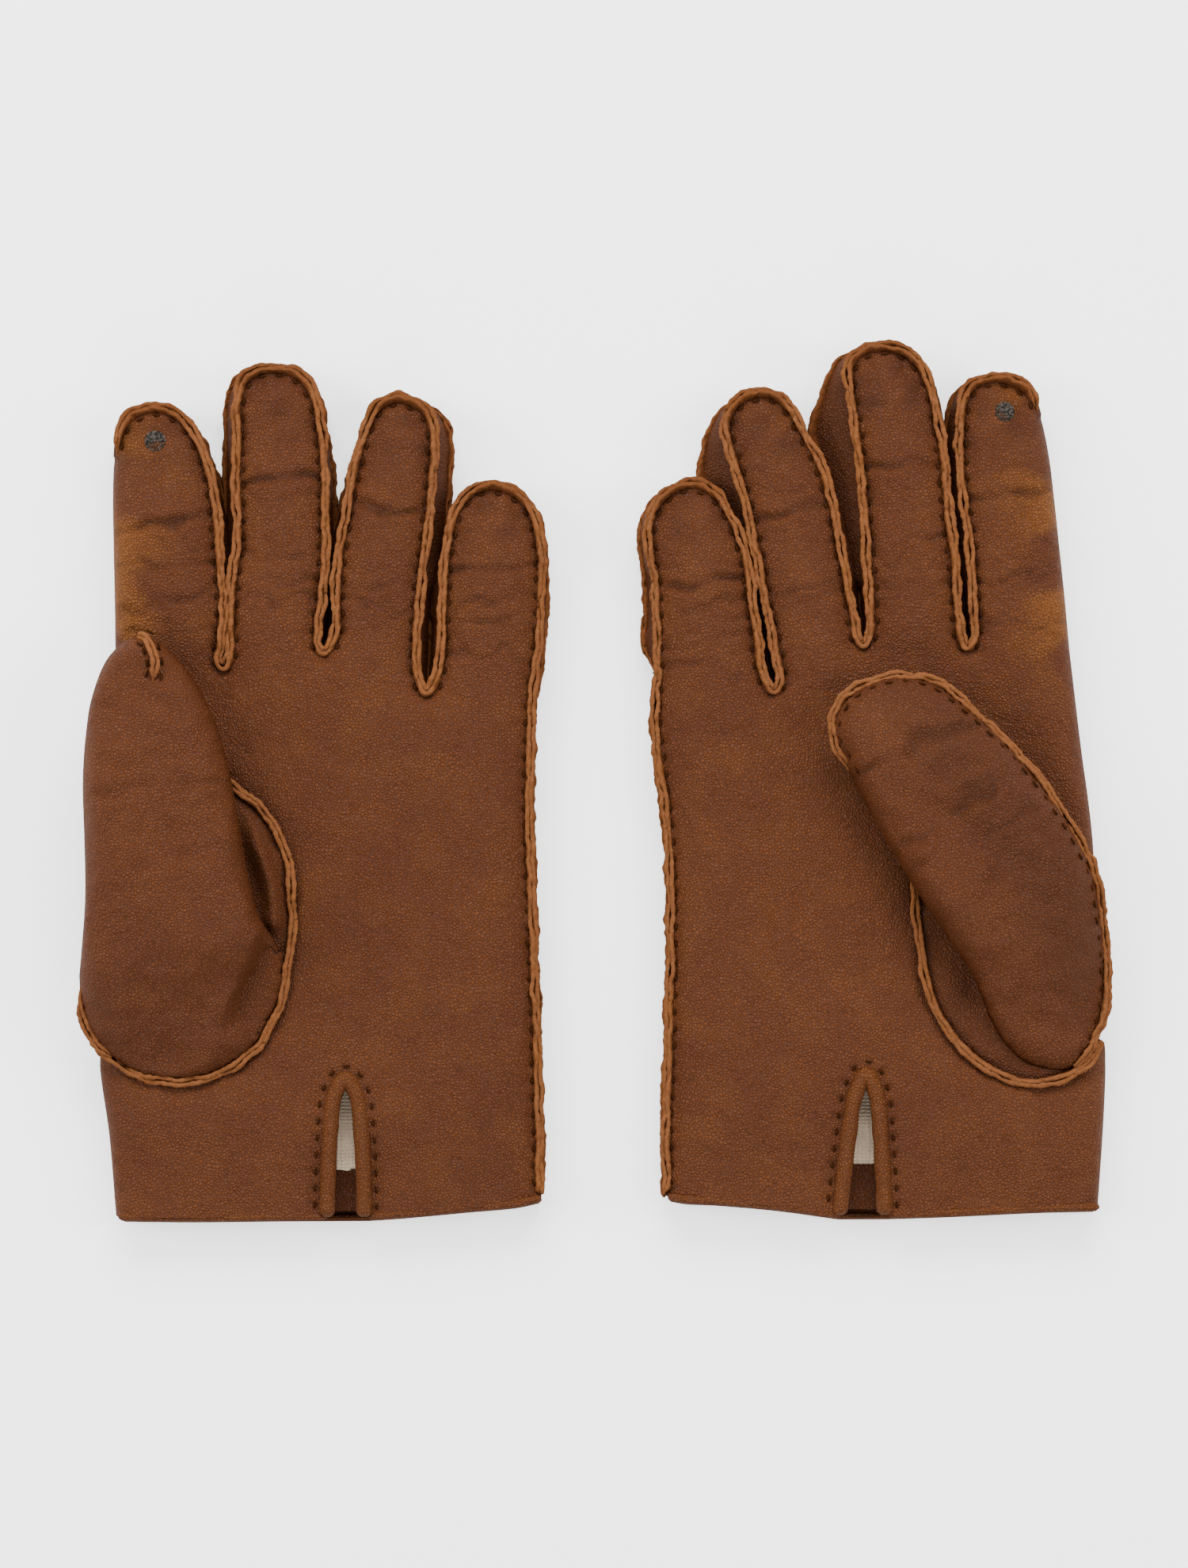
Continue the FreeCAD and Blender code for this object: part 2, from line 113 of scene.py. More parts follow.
# A finger's front seam runs from the crotch on its left, round the tip, to the crotch on its right, as
# (along, across) from its knuckle. "spread" says how far its back stands out past that seam, as a share of
# its half width: (near the root, near the tip) for its left and its right. A crease is
# (along, depth, slant, width).
GLOVES = {
    "left": {
        "fingers": {
            "index": dict(
                heading=-2.6, fold="left", fold_end=46.0, spread=((0, 0), (0.35, 0.06)),
                outline=[(-8, -15.5), (8, -15.0), (24, -14.6), (36, -14.2), (45, -13.4), (53, -11.2),
                         (57, -7.0), (58.3, -1.5), (56.2, 4.0), (51, 8.2), (44, 11.0), (34, 12.7),
                         (20, 13.3), (4, 13.7), (-4.8, 12.6), (-8.0, 11.6), (-11.2, 12.9)],
                creases=[(27.9, 1.0, 0.10, 1.5), (17.0, 0.6, -0.05, 1.2), (8.0, 0.55, 0.22, 1.2),
                         (-1.0, 0.5, 0.0, 1.4)]),
            "middle": dict(
                heading=-1.1, spread=((0.35, 0.30), (0.22, 0.05)),
                outline=[(-10.3, -14.8), (-7.2, -13.1), (0.8, -12.8), (12, -12.2), (23, -10.6), (38, -10.3),
                         (50, -10.1), (61, -9.6), (66.4, -7.3), (68.6, -2.0), (68.0, 3.3), (65.6, 7.6),
                         (60.5, 10.6), (52.6, 12.1), (40, 12.8), (27, 12.7), (12, 11.9), (0.4, 10.4),
                         (-5, 10.2), (-7.1, 11.4)],
                creases=[(39.8, 1.0, 0.06, 1.5), (19.0, 0.55, -0.04, 1.3), (13.0, 0.45, 0.1, 1.2),
                         (8.0, 0.4, 0.0, 1.2)]),
            "ring": dict(
                heading=5.0, spread=((0.35, 0.04), (0.60, 0.40)),
                outline=[(-6.1, -14.9), (-4.3, -13.6), (2.1, -12.1), (8.1, -12.7), (19, -13.1), (37, -11.8),
                         (47, -10.5), (55, -8.9), (60.6, -6.3), (62.9, -2.0), (62.4, 2.2), (60.4, 6.2),
                         (57.0, 8.3), (52, 9.4), (39, 9.6), (23, 9.3), (7.4, 8.8), (-0.6, 9.3),
                         (-8.5, 10.2), (-14.1, 12.6)],
                creases=[(33.5, 0.9, -0.05, 1.4), (13.0, 0.5, 0.12, 1.3), (8.5, 0.4, -0.08, 1.2)]),
            "little": dict(
                heading=2.8, spread=((0.50, 0.05), (0.04, 0.06)),
                outline=[(-6.6, -15.1), (-4.4, -13.1), (-1.0, -12.2), (7.4, -11.6), (23, -11.8),
                         (31, -11.5), (39, -10.4), (44.8, -8.2), (48.3, -4.4), (49.2, 0.5), (48.0, 5.2),
                         (45.0, 9.4), (39, 12.2), (29.7, 13.8), (19, 14.3), (11, 14.5), (3.3, 13.9),
                         (-5.0, 13.2)],
                creases=[(27.5, 0.9, 0.08, 1.4), (19.0, 0.5, 0.25, 1.2), (14.0, 0.45, 0.2, 1.1),
                         (5.0, 0.45, 0.0, 1.3)]),
        },
        "order": ["index", "middle", "ring", "little"],
        "fold": [(-125.4, -113.2), (-127.2, -92.0), (-129.6, -74.0)],
        "back_fold": [(-131.0, -60.0), (-131.6, -41.0), (-131.2, -23.0)],
        "fold_top": [(-130.4, -3.0), (-129.1, 12.0)],
        "side": [(-16.5, 8.0), (-16.7, -2.4), (-16.2, -23.0), (-15.2, -50.0), (-14.2, -85.0),
                 (-13.8, -108.2)],
        "hem": [(-20.0, -109.6), (-33.8, -110.9), (-50.0, -112.4)],
        "hem_end": [(-85.0, -113.2), (-105.0, -113.4)],
        "vent": [(-60.0, -113.1), (-60.7, -92.0), (-62.1, -81.0), (-64.9, -77.0), (-67.7, -81.0),
                 (-69.0, -92.0), (-69.9, -113.1)],
        "lining_edge": -101.3,
        "oval": [(-129.2, -69.0), (-122.7, -73.8), (-115.6, -76.7), (-108.6, -77.6), (-101, -76.6),
                 (-93.5, -73.0), (-87.0, -67.2), (-82.6, -58.5), (-80.0, -46.0), (-78.8, -33.0),
                 (-80.6, -18.0), (-85.4, -9.2), (-92.5, -2.0), (-102, 3.5), (-113, 4.5), (-124, 1.0),
                 (-130.2, -8.0)],
        "thumb": dict(
            heading=-3.2,
            left=[(-133.5, -44.0), (-132.3, -30.0), (-132.5, -14.0), (-132.9, 0.0), (-132.2, 12.0),
                  (-130.4, 23.0), (-125.8, 33.5), (-118.8, 38.4), (-111.8, 36.0), (-104.6, 28.0),
                  (-99.0, 17.5), (-95.6, 7.0), (-92.6, -8.0), (-90.0, -23.0), (-87.0, -34.5),
                  (-84.0, -39.6), (-81.6, -44.4)],
            arc=[(-81.4, -50.0), (-83.4, -58.5), (-87.4, -66.8), (-93.8, -72.6), (-101.0, -76.1),
                 (-108.6, -77.2), (-115.6, -76.7), (-122.7, -73.8), (-129.2, -69.0), (-132.3, -63.5),
                 (-133.9, -57.0), (-134.2, -50.0)],
            soft_fold=[(-85.2, -36.5), (-87.6, -42.0), (-91.0, -49.5), (-94.6, -57.5), (-98.0, -67.0)],
            roll=[(-91.4, -5.0), (-88.4, -14.0), (-85.6, -22.0), (-83.9, -29.0), (-83.6, -36.0)],
            seam_side=None,
            creases=[(49.0, 0.9, 0.1, 1.8), (71.0, 0.8, -0.1, 1.8), (30.0, 0.6, 0.15, 1.6)]),
        "touch": (-114.6, 89.5, 2.5),
        "touch_finger": "index",
    },
    "right": {
        "fingers": {
            "little": dict(
                heading=-4.3, spread=((0.20, 0.12), (0.40, 0.03)),
                outline=[(1.0, -13.4), (8.7, -13.4), (16.7, -12.7), (24.6, -12.4), (32, -12.9),
                         (39.5, -12.8), (45.2, -10.4), (48.6, -6.3), (49.9, -1.5), (49.0, 2.4), (46.0, 6.2),
                         (41.5, 8.7), (36, 10.8), (30.7, 12.0), (20, 12.9), (9.3, 13.6), (1.0, 13.9),
                         (-6.7, 16.3)],
                creases=[(24.0, 0.9, 0.12, 1.4), (17.0, 0.5, 0.3, 1.2), (9.0, 0.45, 0.1, 1.2),
                         (2.5, 0.45, 0.0, 1.3)]),
            "ring": dict(
                heading=-11.8, spread=((0.40, 0.93), (0.40, 0.05)),
                outline=[(-10.3, -12.2), (-8.5, -9.9), (0.8, -9.1), (13, -9.2), (27, -8.7), (40, -8.9),
                         (52, -9.7), (60.9, -10.0), (65.2, -7.4), (67.4, -3.4), (67.5, 0.8), (65.8, 4.8),
                         (62.0, 7.6), (54.5, 10.1), (46.5, 12.3), (37, 13.3), (27, 13.4), (14, 13.1),
                         (3.0, 12.6), (0.0, 12.4), (-3.3, 13.6)],
                creases=[(35.3, 0.9, 0.05, 1.5), (15.5, 0.5, -0.1, 1.2), (11.0, 0.4, 0.1, 1.2)]),
            "middle": dict(
                heading=-6.5, spread=((0.50, 1.20), (0.40, 0.04)),
                outline=[(-2.0, -13.6), (1.3, -11.6), (8, -10.5), (22, -9.9), (33, -9.6), (49, -9.2),
                         (62, -9.5), (68.5, -9.8), (72.8, -8.4), (75.3, -4.6), (75.8, 0.0), (74.9, 4.0),
                         (72.0, 7.9), (67.8, 10.5), (60, 12.2), (46.5, 12.8), (30, 12.4), (15.7, 12.6),
                         (3.0, 12.0), (-1.0, 11.9), (-6.0, 13.0)],
                creases=[(44.5, 0.9, 0.0, 1.5), (24.0, 0.6, 0.12, 1.3), (20.0, 0.45, -0.1, 1.1),
                         (13.0, 0.4, 0.0, 1.2)]),
            "index": dict(
                heading=-5.6, fold="right", fold_end=56.0, spread=((0.45, 0.32), (0, 0)),
                outline=[(-3.2, -13.7), (-0.1, -11.3), (8, -10.8), (25, -10.1), (38, -10.8), (51, -10.2),
                         (57, -9.4), (62.4, -8.0), (65.9, -5.6), (67.3, -1.6), (66.8, 3.2), (64.6, 7.6),
                         (60.8, 10.6), (55.7, 12.1), (46, 13.2), (34, 13.5), (22.7, 13.6), (8, 13.7),
                         (-5.0, 13.6)],
                creases=[(36.3, 0.8, 0.02, 1.5), (14.5, 0.5, 0.08, 1.2), (3.0, 0.4, -0.1, 1.3)]),
        },
        "order": ["little", "ring", "middle", "index"],
        "side": [(18.5, -107.6), (18.6, -88.0), (19.4, -64.5), (19.4, -19.0), (17.3, 2.0), (15.4, 18.0)],
        "fold": [(133.7, -67.6), (134.2, -73.0), (134.0, -82.0), (133.4, -93.0), (132.2, -110.6)],
        "back_fold": [(132.6, -41.0), (132.6, -60.0)],
        "fold_top": [(128.0, 8.0), (129.8, -5.0), (131.0, -17.0)],
        "hem": [(118.0, -110.9), (92.0, -112.1)],
        "hem_end": [(48.0, -110.4), (32.0, -109.0), (24.0, -108.6)],
        "vent": [(76.1, -112.6), (74.9, -92.0), (73.7, -81.0), (71.2, -75.7), (68.3, -81.0), (66.5, -92.0),
                 (64.2, -112.6)],
        "lining_edge": -100.1,
        "oval": [(131.3, -29.0), (125.5, -19.0), (116, -10.0), (104, -5.5), (93, -8.0), (85.8, -17.0),
                 (84.0, -30.0), (85.0, -40.0), (87.6, -53.3), (91.5, -62.5), (98.0, -70.2), (105.5, -75.4),
                 (113.1, -77.9), (119.5, -77.4), (125.0, -75.2), (129.6, -71.8), (132.5, -66.8)],
        "thumb": dict(
            heading=-32.7,
            left=[(119.0, -74.9), (112.6, -72.6), (107.3, -67.8), (103.6, -61.6), (98.6, -50.0),
                  (92.0, -39.8), (83.6, -27.5), (75.6, -14.2), (69.4, -3.0), (64.6, 6.6), (61.8, 13.2),
                  (64.0, 21.0), (70.0, 25.8), (79.0, 28.4), (88.0, 26.8), (97.0, 20.4), (107.0, 11.2),
                  (116.4, 0.2), (124.6, -12.2), (130.4, -24.4), (132.8, -37.0)],
            arc=[(133.9, -47.5), (133.7, -56.5), (132.2, -63.5), (129.2, -70.0), (124.6, -74.3)],
            soft_fold=None,
            roll=None,
            seam_side="right",
            creases=[(44.0, 1.3, 0.1, 1.7), (64.0, 1.2, -0.12, 1.6), (24.0, 0.9, 0.1, 1.8),
                     (54.0, 0.8, 0.2, 1.3), (35.0, 0.7, -0.05, 1.3)]),
        "touch": (107.3, 97.2, 2.3),
        "touch_finger": "index",
    },
}


# ---------------------------------------------------------------- curves and fields


def curve(points, closed=False, step=0.25):
    """A smooth line through the points, as a fine polyline."""
    p = np.array(points, float)
    n = len(p)
    ext = np.vstack([p[-1], p, p[:2]]) if closed else np.vstack([2 * p[0] - p[1], p, 2 * p[-1] - p[-2]])
    out = []
    for i in range(n if closed else n - 1):
        a, b, c, d = ext[i], ext[i + 1], ext[i + 2], ext[i + 3]
        t1 = np.linalg.norm(b - a) ** 0.5 + 1e-9
        t2 = t1 + np.linalg.norm(c - b) ** 0.5
        t3 = t2 + np.linalg.norm(d - c) ** 0.5 + 1e-9
        count = max(2, int(np.linalg.norm(c - b) / step))
        t = np.linspace(t1, t2, count, endpoint=False)[:, None]
        ab = (t1 - t) / t1 * a + t / t1 * b
        bc = (t2 - t) / (t2 - t1) * b + (t - t1) / (t2 - t1) * c
        cd = (t3 - t) / (t3 - t2) * c + (t - t2) / (t3 - t2) * d
        abc = (t2 - t) / t2 * ab + t / t2 * bc
        bcd = (t3 - t) / (t3 - t1) * bc + (t - t1) / (t3 - t1) * cd
        out.append((t2 - t) / (t2 - t1) * abc + (t - t1) / (t2 - t1) * bcd)
    if not closed:
        out.append(p[-1:])
    return np.vstack(out)


def lengths(line):
    return np.concatenate([[0], np.cumsum(np.linalg.norm(np.diff(line, axis=0), axis=1))])


def resample(line, spacing, ends=True):
    """The line's points at even steps close to the spacing."""
    s = lengths(line)
    count = max(2, int(round(s[-1] / spacing)) + 1)
    t = np.linspace(0, s[-1], count)
    out = np.stack([np.interp(t, s, line[:, k]) for k in range(line.shape[1])], 1)
    return out if ends else out[:-1]


def smoothed(values):
    """The mean of each value and its two neighbours on either side."""
    return np.convolve(np.pad(values, 2, "edge"), np.ones(5) / 5, "valid")


def smoothstep(x, low, high):
    t = np.clip((np.asarray(x, float) - low) / (high - low), 0, 1)
    return t * t * (3 - 2 * t)


class Waves:
    """Smooth, seeded, band-limited noise over the plane, about -1 to 1."""

    def __init__(self, seed, wavelength, count=18):
        rng = np.random.default_rng(seed)
        angle = rng.uniform(0, 2 * math.pi, count)
        length = wavelength * rng.uniform(0.7, 1.6, count)
        self.k = np.stack([np.cos(angle), np.sin(angle)], 1) * (2 * math.pi / length)[:, None]
        self.phase = rng.uniform(0, 2 * math.pi, count)
        self.scale = 1.6 / math.sqrt(count)

    def __call__(self, xy):
        return np.sin(np.asarray(xy) @ self.k.T + self.phase).sum(1) * self.scale


def inside(points, loop):
    """Which points lie inside the closed loop."""
    x, y = points[:, 0], points[:, 1]
    result = np.zeros(len(points), bool)
    for (x0, y0), (x1, y1) in zip(loop, np.roll(loop, -1, axis=0)):
        if y0 == y1:
            continue
        cross = ((y0 > y) != (y1 > y)) & (x < (x1 - x0) * (y - y0) / (y1 - y0) + x0)
        result ^= cross
    return result


def nearest(points, targets, chunk=3000):
    """Distance to, and index of, the nearest target."""
    distance = np.empty(len(points))
    index = np.empty(len(points), int)
    for i in range(0, len(points), chunk):
        d = ((points[i:i + chunk, None, :] - targets[None]) ** 2).sum(2)
        index[i:i + chunk] = d.argmin(1)
        distance[i:i + chunk] = np.sqrt(d.min(1))
    return distance, index


def spread_value(points, targets, values, chunk=3000):
    """Values at the targets, carried over the plane by inverse distance."""
    out = np.empty(len(points))
    for i in range(0, len(points), chunk):
        d = ((points[i:i + chunk, None, :] - targets[None]) ** 2).sum(2) + 0.05
        w = d ** -1.75
        out[i:i + chunk] = (w * values).sum(1) / w.sum(1)
    return out


class Sheet:
    """A flat sheet cut to a loop, triangulated evenly, with lines that its edges follow."""

    def __init__(self, loop, lines, spacing):
        loop = np.asarray(loop)
        self.rim = len(loop)
        fixed = [loop]
        edges = [(i, (i + 1) % self.rim) for i in range(self.rim)]
        total = self.rim
        for a, b in lines:
            count = max(2, int(round(np.linalg.norm(loop[b] - loop[a]) / spacing)))
            t = np.linspace(0, 1, count + 1)[1:-1, None]
            fixed.append(loop[a] * (1 - t) + loop[b] * t)
            chain = [a, *range(total, total + count - 1), b]
            edges += list(zip(chain, chain[1:]))
            total += count - 1
        fixed = np.vstack(fixed)
        low, high = loop.min(0), loop.max(0)
        rise = spacing * math.sqrt(3) / 2
        rows = np.arange(low[1], high[1], rise)
        grid = [
            (x + (0.5 * spacing if r % 2 else 0), y)
            for r, y in enumerate(rows)
            for x in np.arange(low[0], high[0], spacing)
        ]
        grid = np.array(grid)
        grid = grid[inside(grid, loop)]
        grid = grid[nearest(grid, fixed)[0] > 0.72 * spacing]
        verts = np.vstack([fixed, grid])
        points, _, faces, origin, _, _ = delaunay_2d_cdt([Vector(p) for p in verts], edges, [], 1, 1e-6)
        self.xy = np.array([tuple(p) for p in points])
        self.faces = np.array([f for f in faces if len(f) == 3], int)
        a, b, c = (self.xy[self.faces[:, k]] for k in range(3))
        turn = (b - a)[:, 0] * (c - a)[:, 1] - (b - a)[:, 1] * (c - a)[:, 0]
        self.faces[turn < 0] = self.faces[turn < 0][:, ::-1]
        self.source = np.full(len(self.xy), -1)
        for i, group in enumerate(origin):
            if group:
                self.source[i] = min(group)
        self.loop_vertex = np.full(self.rim, -1)
        for i, s in enumerate(self.source):
            if 0 <= s < self.rim:
                self.loop_vertex[s] = i
        self.z = np.zeros(len(self.xy))

    def puff(self, held, reach, rounds=450):
        """A field that is 0 at the held vertices and rises to 1 over the reach."""
        f = self.faces
        pairs = np.vstack([f[:, [0, 1]], f[:, [1, 2]], f[:, [2, 0]]])
        pairs = np.vstack([pairs, pairs[:, ::-1]])
        n = len(self.xy)
        degree = np.bincount(pairs[:, 0], minlength=n)
        degree[degree == 0] = 1
        step = np.linalg.norm(self.xy[pairs[:, 0]] - self.xy[pairs[:, 1]], axis=1)
        kappa = (np.bincount(pairs[:, 0], step, n) / degree) ** 2 / (4 * reach ** 2)
        u = np.ones(n)
        u[held] = 0
        for _ in range(rounds):
            u = (np.bincount(pairs[:, 0], u[pairs[:, 1]], n) / degree + kappa) / (1 + kappa)
            u[held] = 0
        return u

    def normals(self, down=False):
        p = np.column_stack([self.xy, self.z])
        a, b, c = (p[self.faces[:, k]] for k in range(3))
        face = np.cross(b - a, c - a)
        out = np.zeros_like(p)
        for k in range(3):
            np.add.at(out, self.faces[:, k], face)
        return -out if down else out


def unit(v):
    return v / np.maximum(np.linalg.norm(v, axis=-1, keepdims=True), 1e-9)


# ---------------------------------------------------------------- materials


def shader(name, build):
    material = bpy.data.materials.new(name)
    material.use_nodes = True
    tree = material.node_tree
    tree.nodes.clear()
    out = tree.nodes.new("ShaderNodeOutputMaterial")
    principled = tree.nodes.new("ShaderNodeBsdfPrincipled")
    tree.links.new(principled.outputs[0], out.inputs[0])
    build(tree, principled)
    return material


def node(tree, kind, inputs=None, **settings):
    made = tree.nodes.new(kind)
    for key, value in settings.items():
        setattr(made, key, value)
    for key, value in (inputs or {}).items():
        if isinstance(value, bpy.types.NodeSocket):
            tree.links.new(value, made.inputs[key])
        else:
            made.inputs[key].default_value = value
    return made


def place(tree):
    return node(tree, "ShaderNodeNewGeometry").outputs["Position"]


def attribute(tree, name):
    return node(tree, "ShaderNodeAttribute", attribute_name=name).outputs["Fac"]


def mix(tree, factor, a, b, blend="MIX"):
    made = node(tree, "ShaderNodeMix", data_type="RGBA", blend_type=blend)
    for socket, value in ((0, factor), (6, a), (7, b)):
        if isinstance(value, bpy.types.NodeSocket):
            tree.links.new(value, made.inputs[socket])
        else:
            made.inputs[socket].default_value = value
    return made.outputs[2]


def ramp(tree, value, low, high, to_low=0.0, to_high=1.0):
    made = node(tree, "ShaderNodeMapRange", {0: value, 1: low, 2: high, 3: to_low, 4: to_high}, clamp=True)
    return made.outputs[0]


def noise(tree, where, scale, detail=3.0, rough=0.55):
    inputs = {"Vector": where, "Scale": scale, "Detail": detail, "Roughness": rough}
    return node(tree, "ShaderNodeTexNoise", inputs).outputs["Fac"]


def grain_cells(tree, where):
    """How far a place lies from the edge of its grain cell."""
    inputs = {"Vector": where, "Scale": GRAIN_SCALE}
    return node(tree, "ShaderNodeTexVoronoi", inputs, feature="DISTANCE_TO_EDGE").outputs["Distance"]


def math_node(tree, operation, a, b):
    return node(tree, "ShaderNodeMath", {0: a, 1: b}, operation=operation).outputs[0]


def bump_node(tree, height, strength, distance):
    inputs = {"Height": height, "Strength": strength, "Distance": distance}
    return node(tree, "ShaderNodeBump", inputs).outputs[0]


def wave_bands(tree, where, scale, distortion, direction):
    inputs = {"Vector": where, "Scale": scale, "Distortion": distortion}
    return node(tree, "ShaderNodeTexWave", inputs, bands_direction=direction).outputs["Fac"]


def finish(principled, roughness, specular=0.0):
    principled.inputs["Roughness"].default_value = roughness
    principled.inputs["Specular IOR Level"].default_value = specular


LEATHER = (0.0770, 0.0234, 0.0077, 1)
LEATHER_RED = (0.0640, 0.0188, 0.0064, 1)
# Gold: random streaks of lighter tone, and the painted highlight that the gold vertex value carries.
LEATHER_GOLD = (0.135, 0.0460, 0.0092, 1)
# Dark: the grain's cracks, and the painted shade that the dark vertex value carries.
LEATHER_DARK = (0.0140, 0.0040, 0.0016, 1)
RAW = (0.150, 0.0570, 0.0225, 1)
RAW_DARK = (0.095, 0.0345, 0.0130, 1)
# Grain cells to the metre, so that one is about 0.8 mm across.
GRAIN_SCALE = 1250


def leather_colour(tree, where):
    """Dyed skin: cloudy patches of red and gold and dark grain cracks, a darker tone near the fingertips,
    painted shade where the dark vertex value is set, and a painted highlight where the gold vertex value is
    set.
    """
    cloud = ramp(tree, noise(tree, where, 22, 3), 0.25, 0.75)
    base = mix(tree, cloud, LEATHER_RED, LEATHER)
    streak = ramp(tree, noise(tree, where, 60, 4, 0.6), 0.50, 0.85, 0.0, 0.20)
    base = mix(tree, streak, base, LEATHER_GOLD)
    # Painted highlight: the gold vertex value lightens the skin to gold by the index finger's fold and on the
    # rolled binding and hem, with a little random gold tone on the front.
    base = mix(tree, attribute(tree, "wear"), base, LEATHER_GOLD)
    crack = ramp(tree, grain_cells(tree, where), 0.0, 0.20, 0.60, 0.0)
    base = mix(tree, crack, base, LEATHER_DARK)
    # Painted shade: the dark vertex value darkens the skin in creases, along seams, under stitches, in
    # hollows and on undersides; near the fingertips it is a darker tone.
    return mix(tree, attribute(tree, "dark"), base, LEATHER_DARK)


def grain(tree, where, strength):
    """Fine pores and a net of tiny wrinkles."""
    pores = ramp(tree, grain_cells(tree, where), 0.0, 0.30)
    fine = noise(tree, where, 1100, 3, 0.7)
    soft = math_node(tree, "MULTIPLY", noise(tree, where, 330, 3), 2.2)
    total = math_node(tree, "ADD", math_node(tree, "ADD", pores, fine), soft)
    return bump_node(tree, total, strength, 0.00023)


def build_leather(tree, principled):
    where = place(tree)
    tree.links.new(leather_colour(tree, where), principled.inputs["Base Color"])
    bump = grain(tree, where, 0.9)
    tree.links.new(bump, principled.inputs["Normal"])
    tree.links.new(bump, principled.inputs["Coat Normal"])
    rough = ramp(tree, noise(tree, where, 190, 3), 0.3, 0.7, 0.42, 0.54)
    tree.links.new(rough, principled.inputs["Roughness"])
    principled.inputs["Specular IOR Level"].default_value = 0.0
    principled.inputs["Coat Weight"].default_value = 0.15
    principled.inputs["Coat Roughness"].default_value = 0.42


def build_edge(tree, principled):
    """A seam's standing edge: leather up its sides and raw suede along its cut top."""
    where = place(tree)
    fibre = ramp(tree, noise(tree, where, 1500, 4, 0.7), 0.34, 0.68)
    raw = mix(tree, fibre, RAW_DARK, RAW)
    patch = ramp(tree, noise(tree, where, 120, 3), 0.45, 0.75, 0.0, 0.30)
    raw = mix(tree, patch, raw, LEATHER_GOLD)
    colour = mix(tree, attribute(tree, "raw"), leather_colour(tree, where), raw)
    tree.links.new(colour, principled.inputs["Base Color"])
    nap = noise(tree, where, 1900, 4, 0.7)
    tree.links.new(bump_node(tree, nap, 0.8, 0.0002), principled.inputs["Normal"])
    finish(principled, 0.88)


def build_thread(tree, principled):
    where = place(tree)
    twist = wave_bands(tree, where, 900, 1.5, "DIAGONAL")
    colour = mix(tree, twist, (0.015, 0.0048, 0.0018, 1), (0.036, 0.0120, 0.0042, 1))
    tree.links.new(colour, principled.inputs["Base Color"])
    tree.links.new(bump_node(tree, twist, 0.5, 0.0001), principled.inputs["Normal"])
    finish(principled, 0.7)


def build_lining(tree, principled):
    """Cream knit: columns of small loops, a little pilled."""
    where = place(tree)
    columns = wave_bands(tree, where, 260, 0.6, "X")
    rows = wave_bands(tree, where, 340, 0.8, "Y")
    knit = math_node(tree, "MULTIPLY", columns, rows)
    blotch = ramp(tree, noise(tree, where, 240, 3), 0.35, 0.7)
    tone = mix(tree, knit, (0.40, 0.30, 0.21, 1), (0.66, 0.50, 0.36, 1))
    tone = mix(tree, blotch, tone, (0.58, 0.44, 0.31, 1))
    tree.links.new(tone, principled.inputs["Base Color"])
    tree.links.new(bump_node(tree, knit, 0.9, 0.0003), principled.inputs["Normal"])
    principled.inputs["Roughness"].default_value = 0.9


def build_touch(tree, principled):
    where = place(tree)
    speck = ramp(tree, noise(tree, where, 1600, 2), 0.4, 0.65)
    tone = mix(tree, speck, (0.007, 0.0055, 0.0042, 1), (0.050, 0.042, 0.034, 1))
    tree.links.new(tone, principled.inputs["Base Color"])
    finish(principled, 0.8, 0.08)


def build_floor(tree, principled):
    where = place(tree)
    cloud = ramp(tree, noise(tree, where, 3, 2), 0.3, 0.7)
    tone = mix(tree, cloud, (0.93, 0.93, 0.93, 1), (0.95, 0.95, 0.95, 1))
    tree.links.new(tone, principled.inputs["Base Color"])
    principled.inputs["Roughness"].default_value = 0.9
    principled.inputs["Emission Color"].default_value = (1, 1, 1, 1)
    principled.inputs["Emission Strength"].default_value = 0.9


MATERIALS = {
    "leather": shader("brown_nappa", build_leather),
    "raw_edge": shader("raw_seam_edge", build_edge),
    "thread": shader("waxed_thread", build_thread),
    "lining": shader("cream_knit", build_lining),
    "touch_patch": shader("touch_spot", build_touch),
}


# ---------------------------------------------------------------- pieces


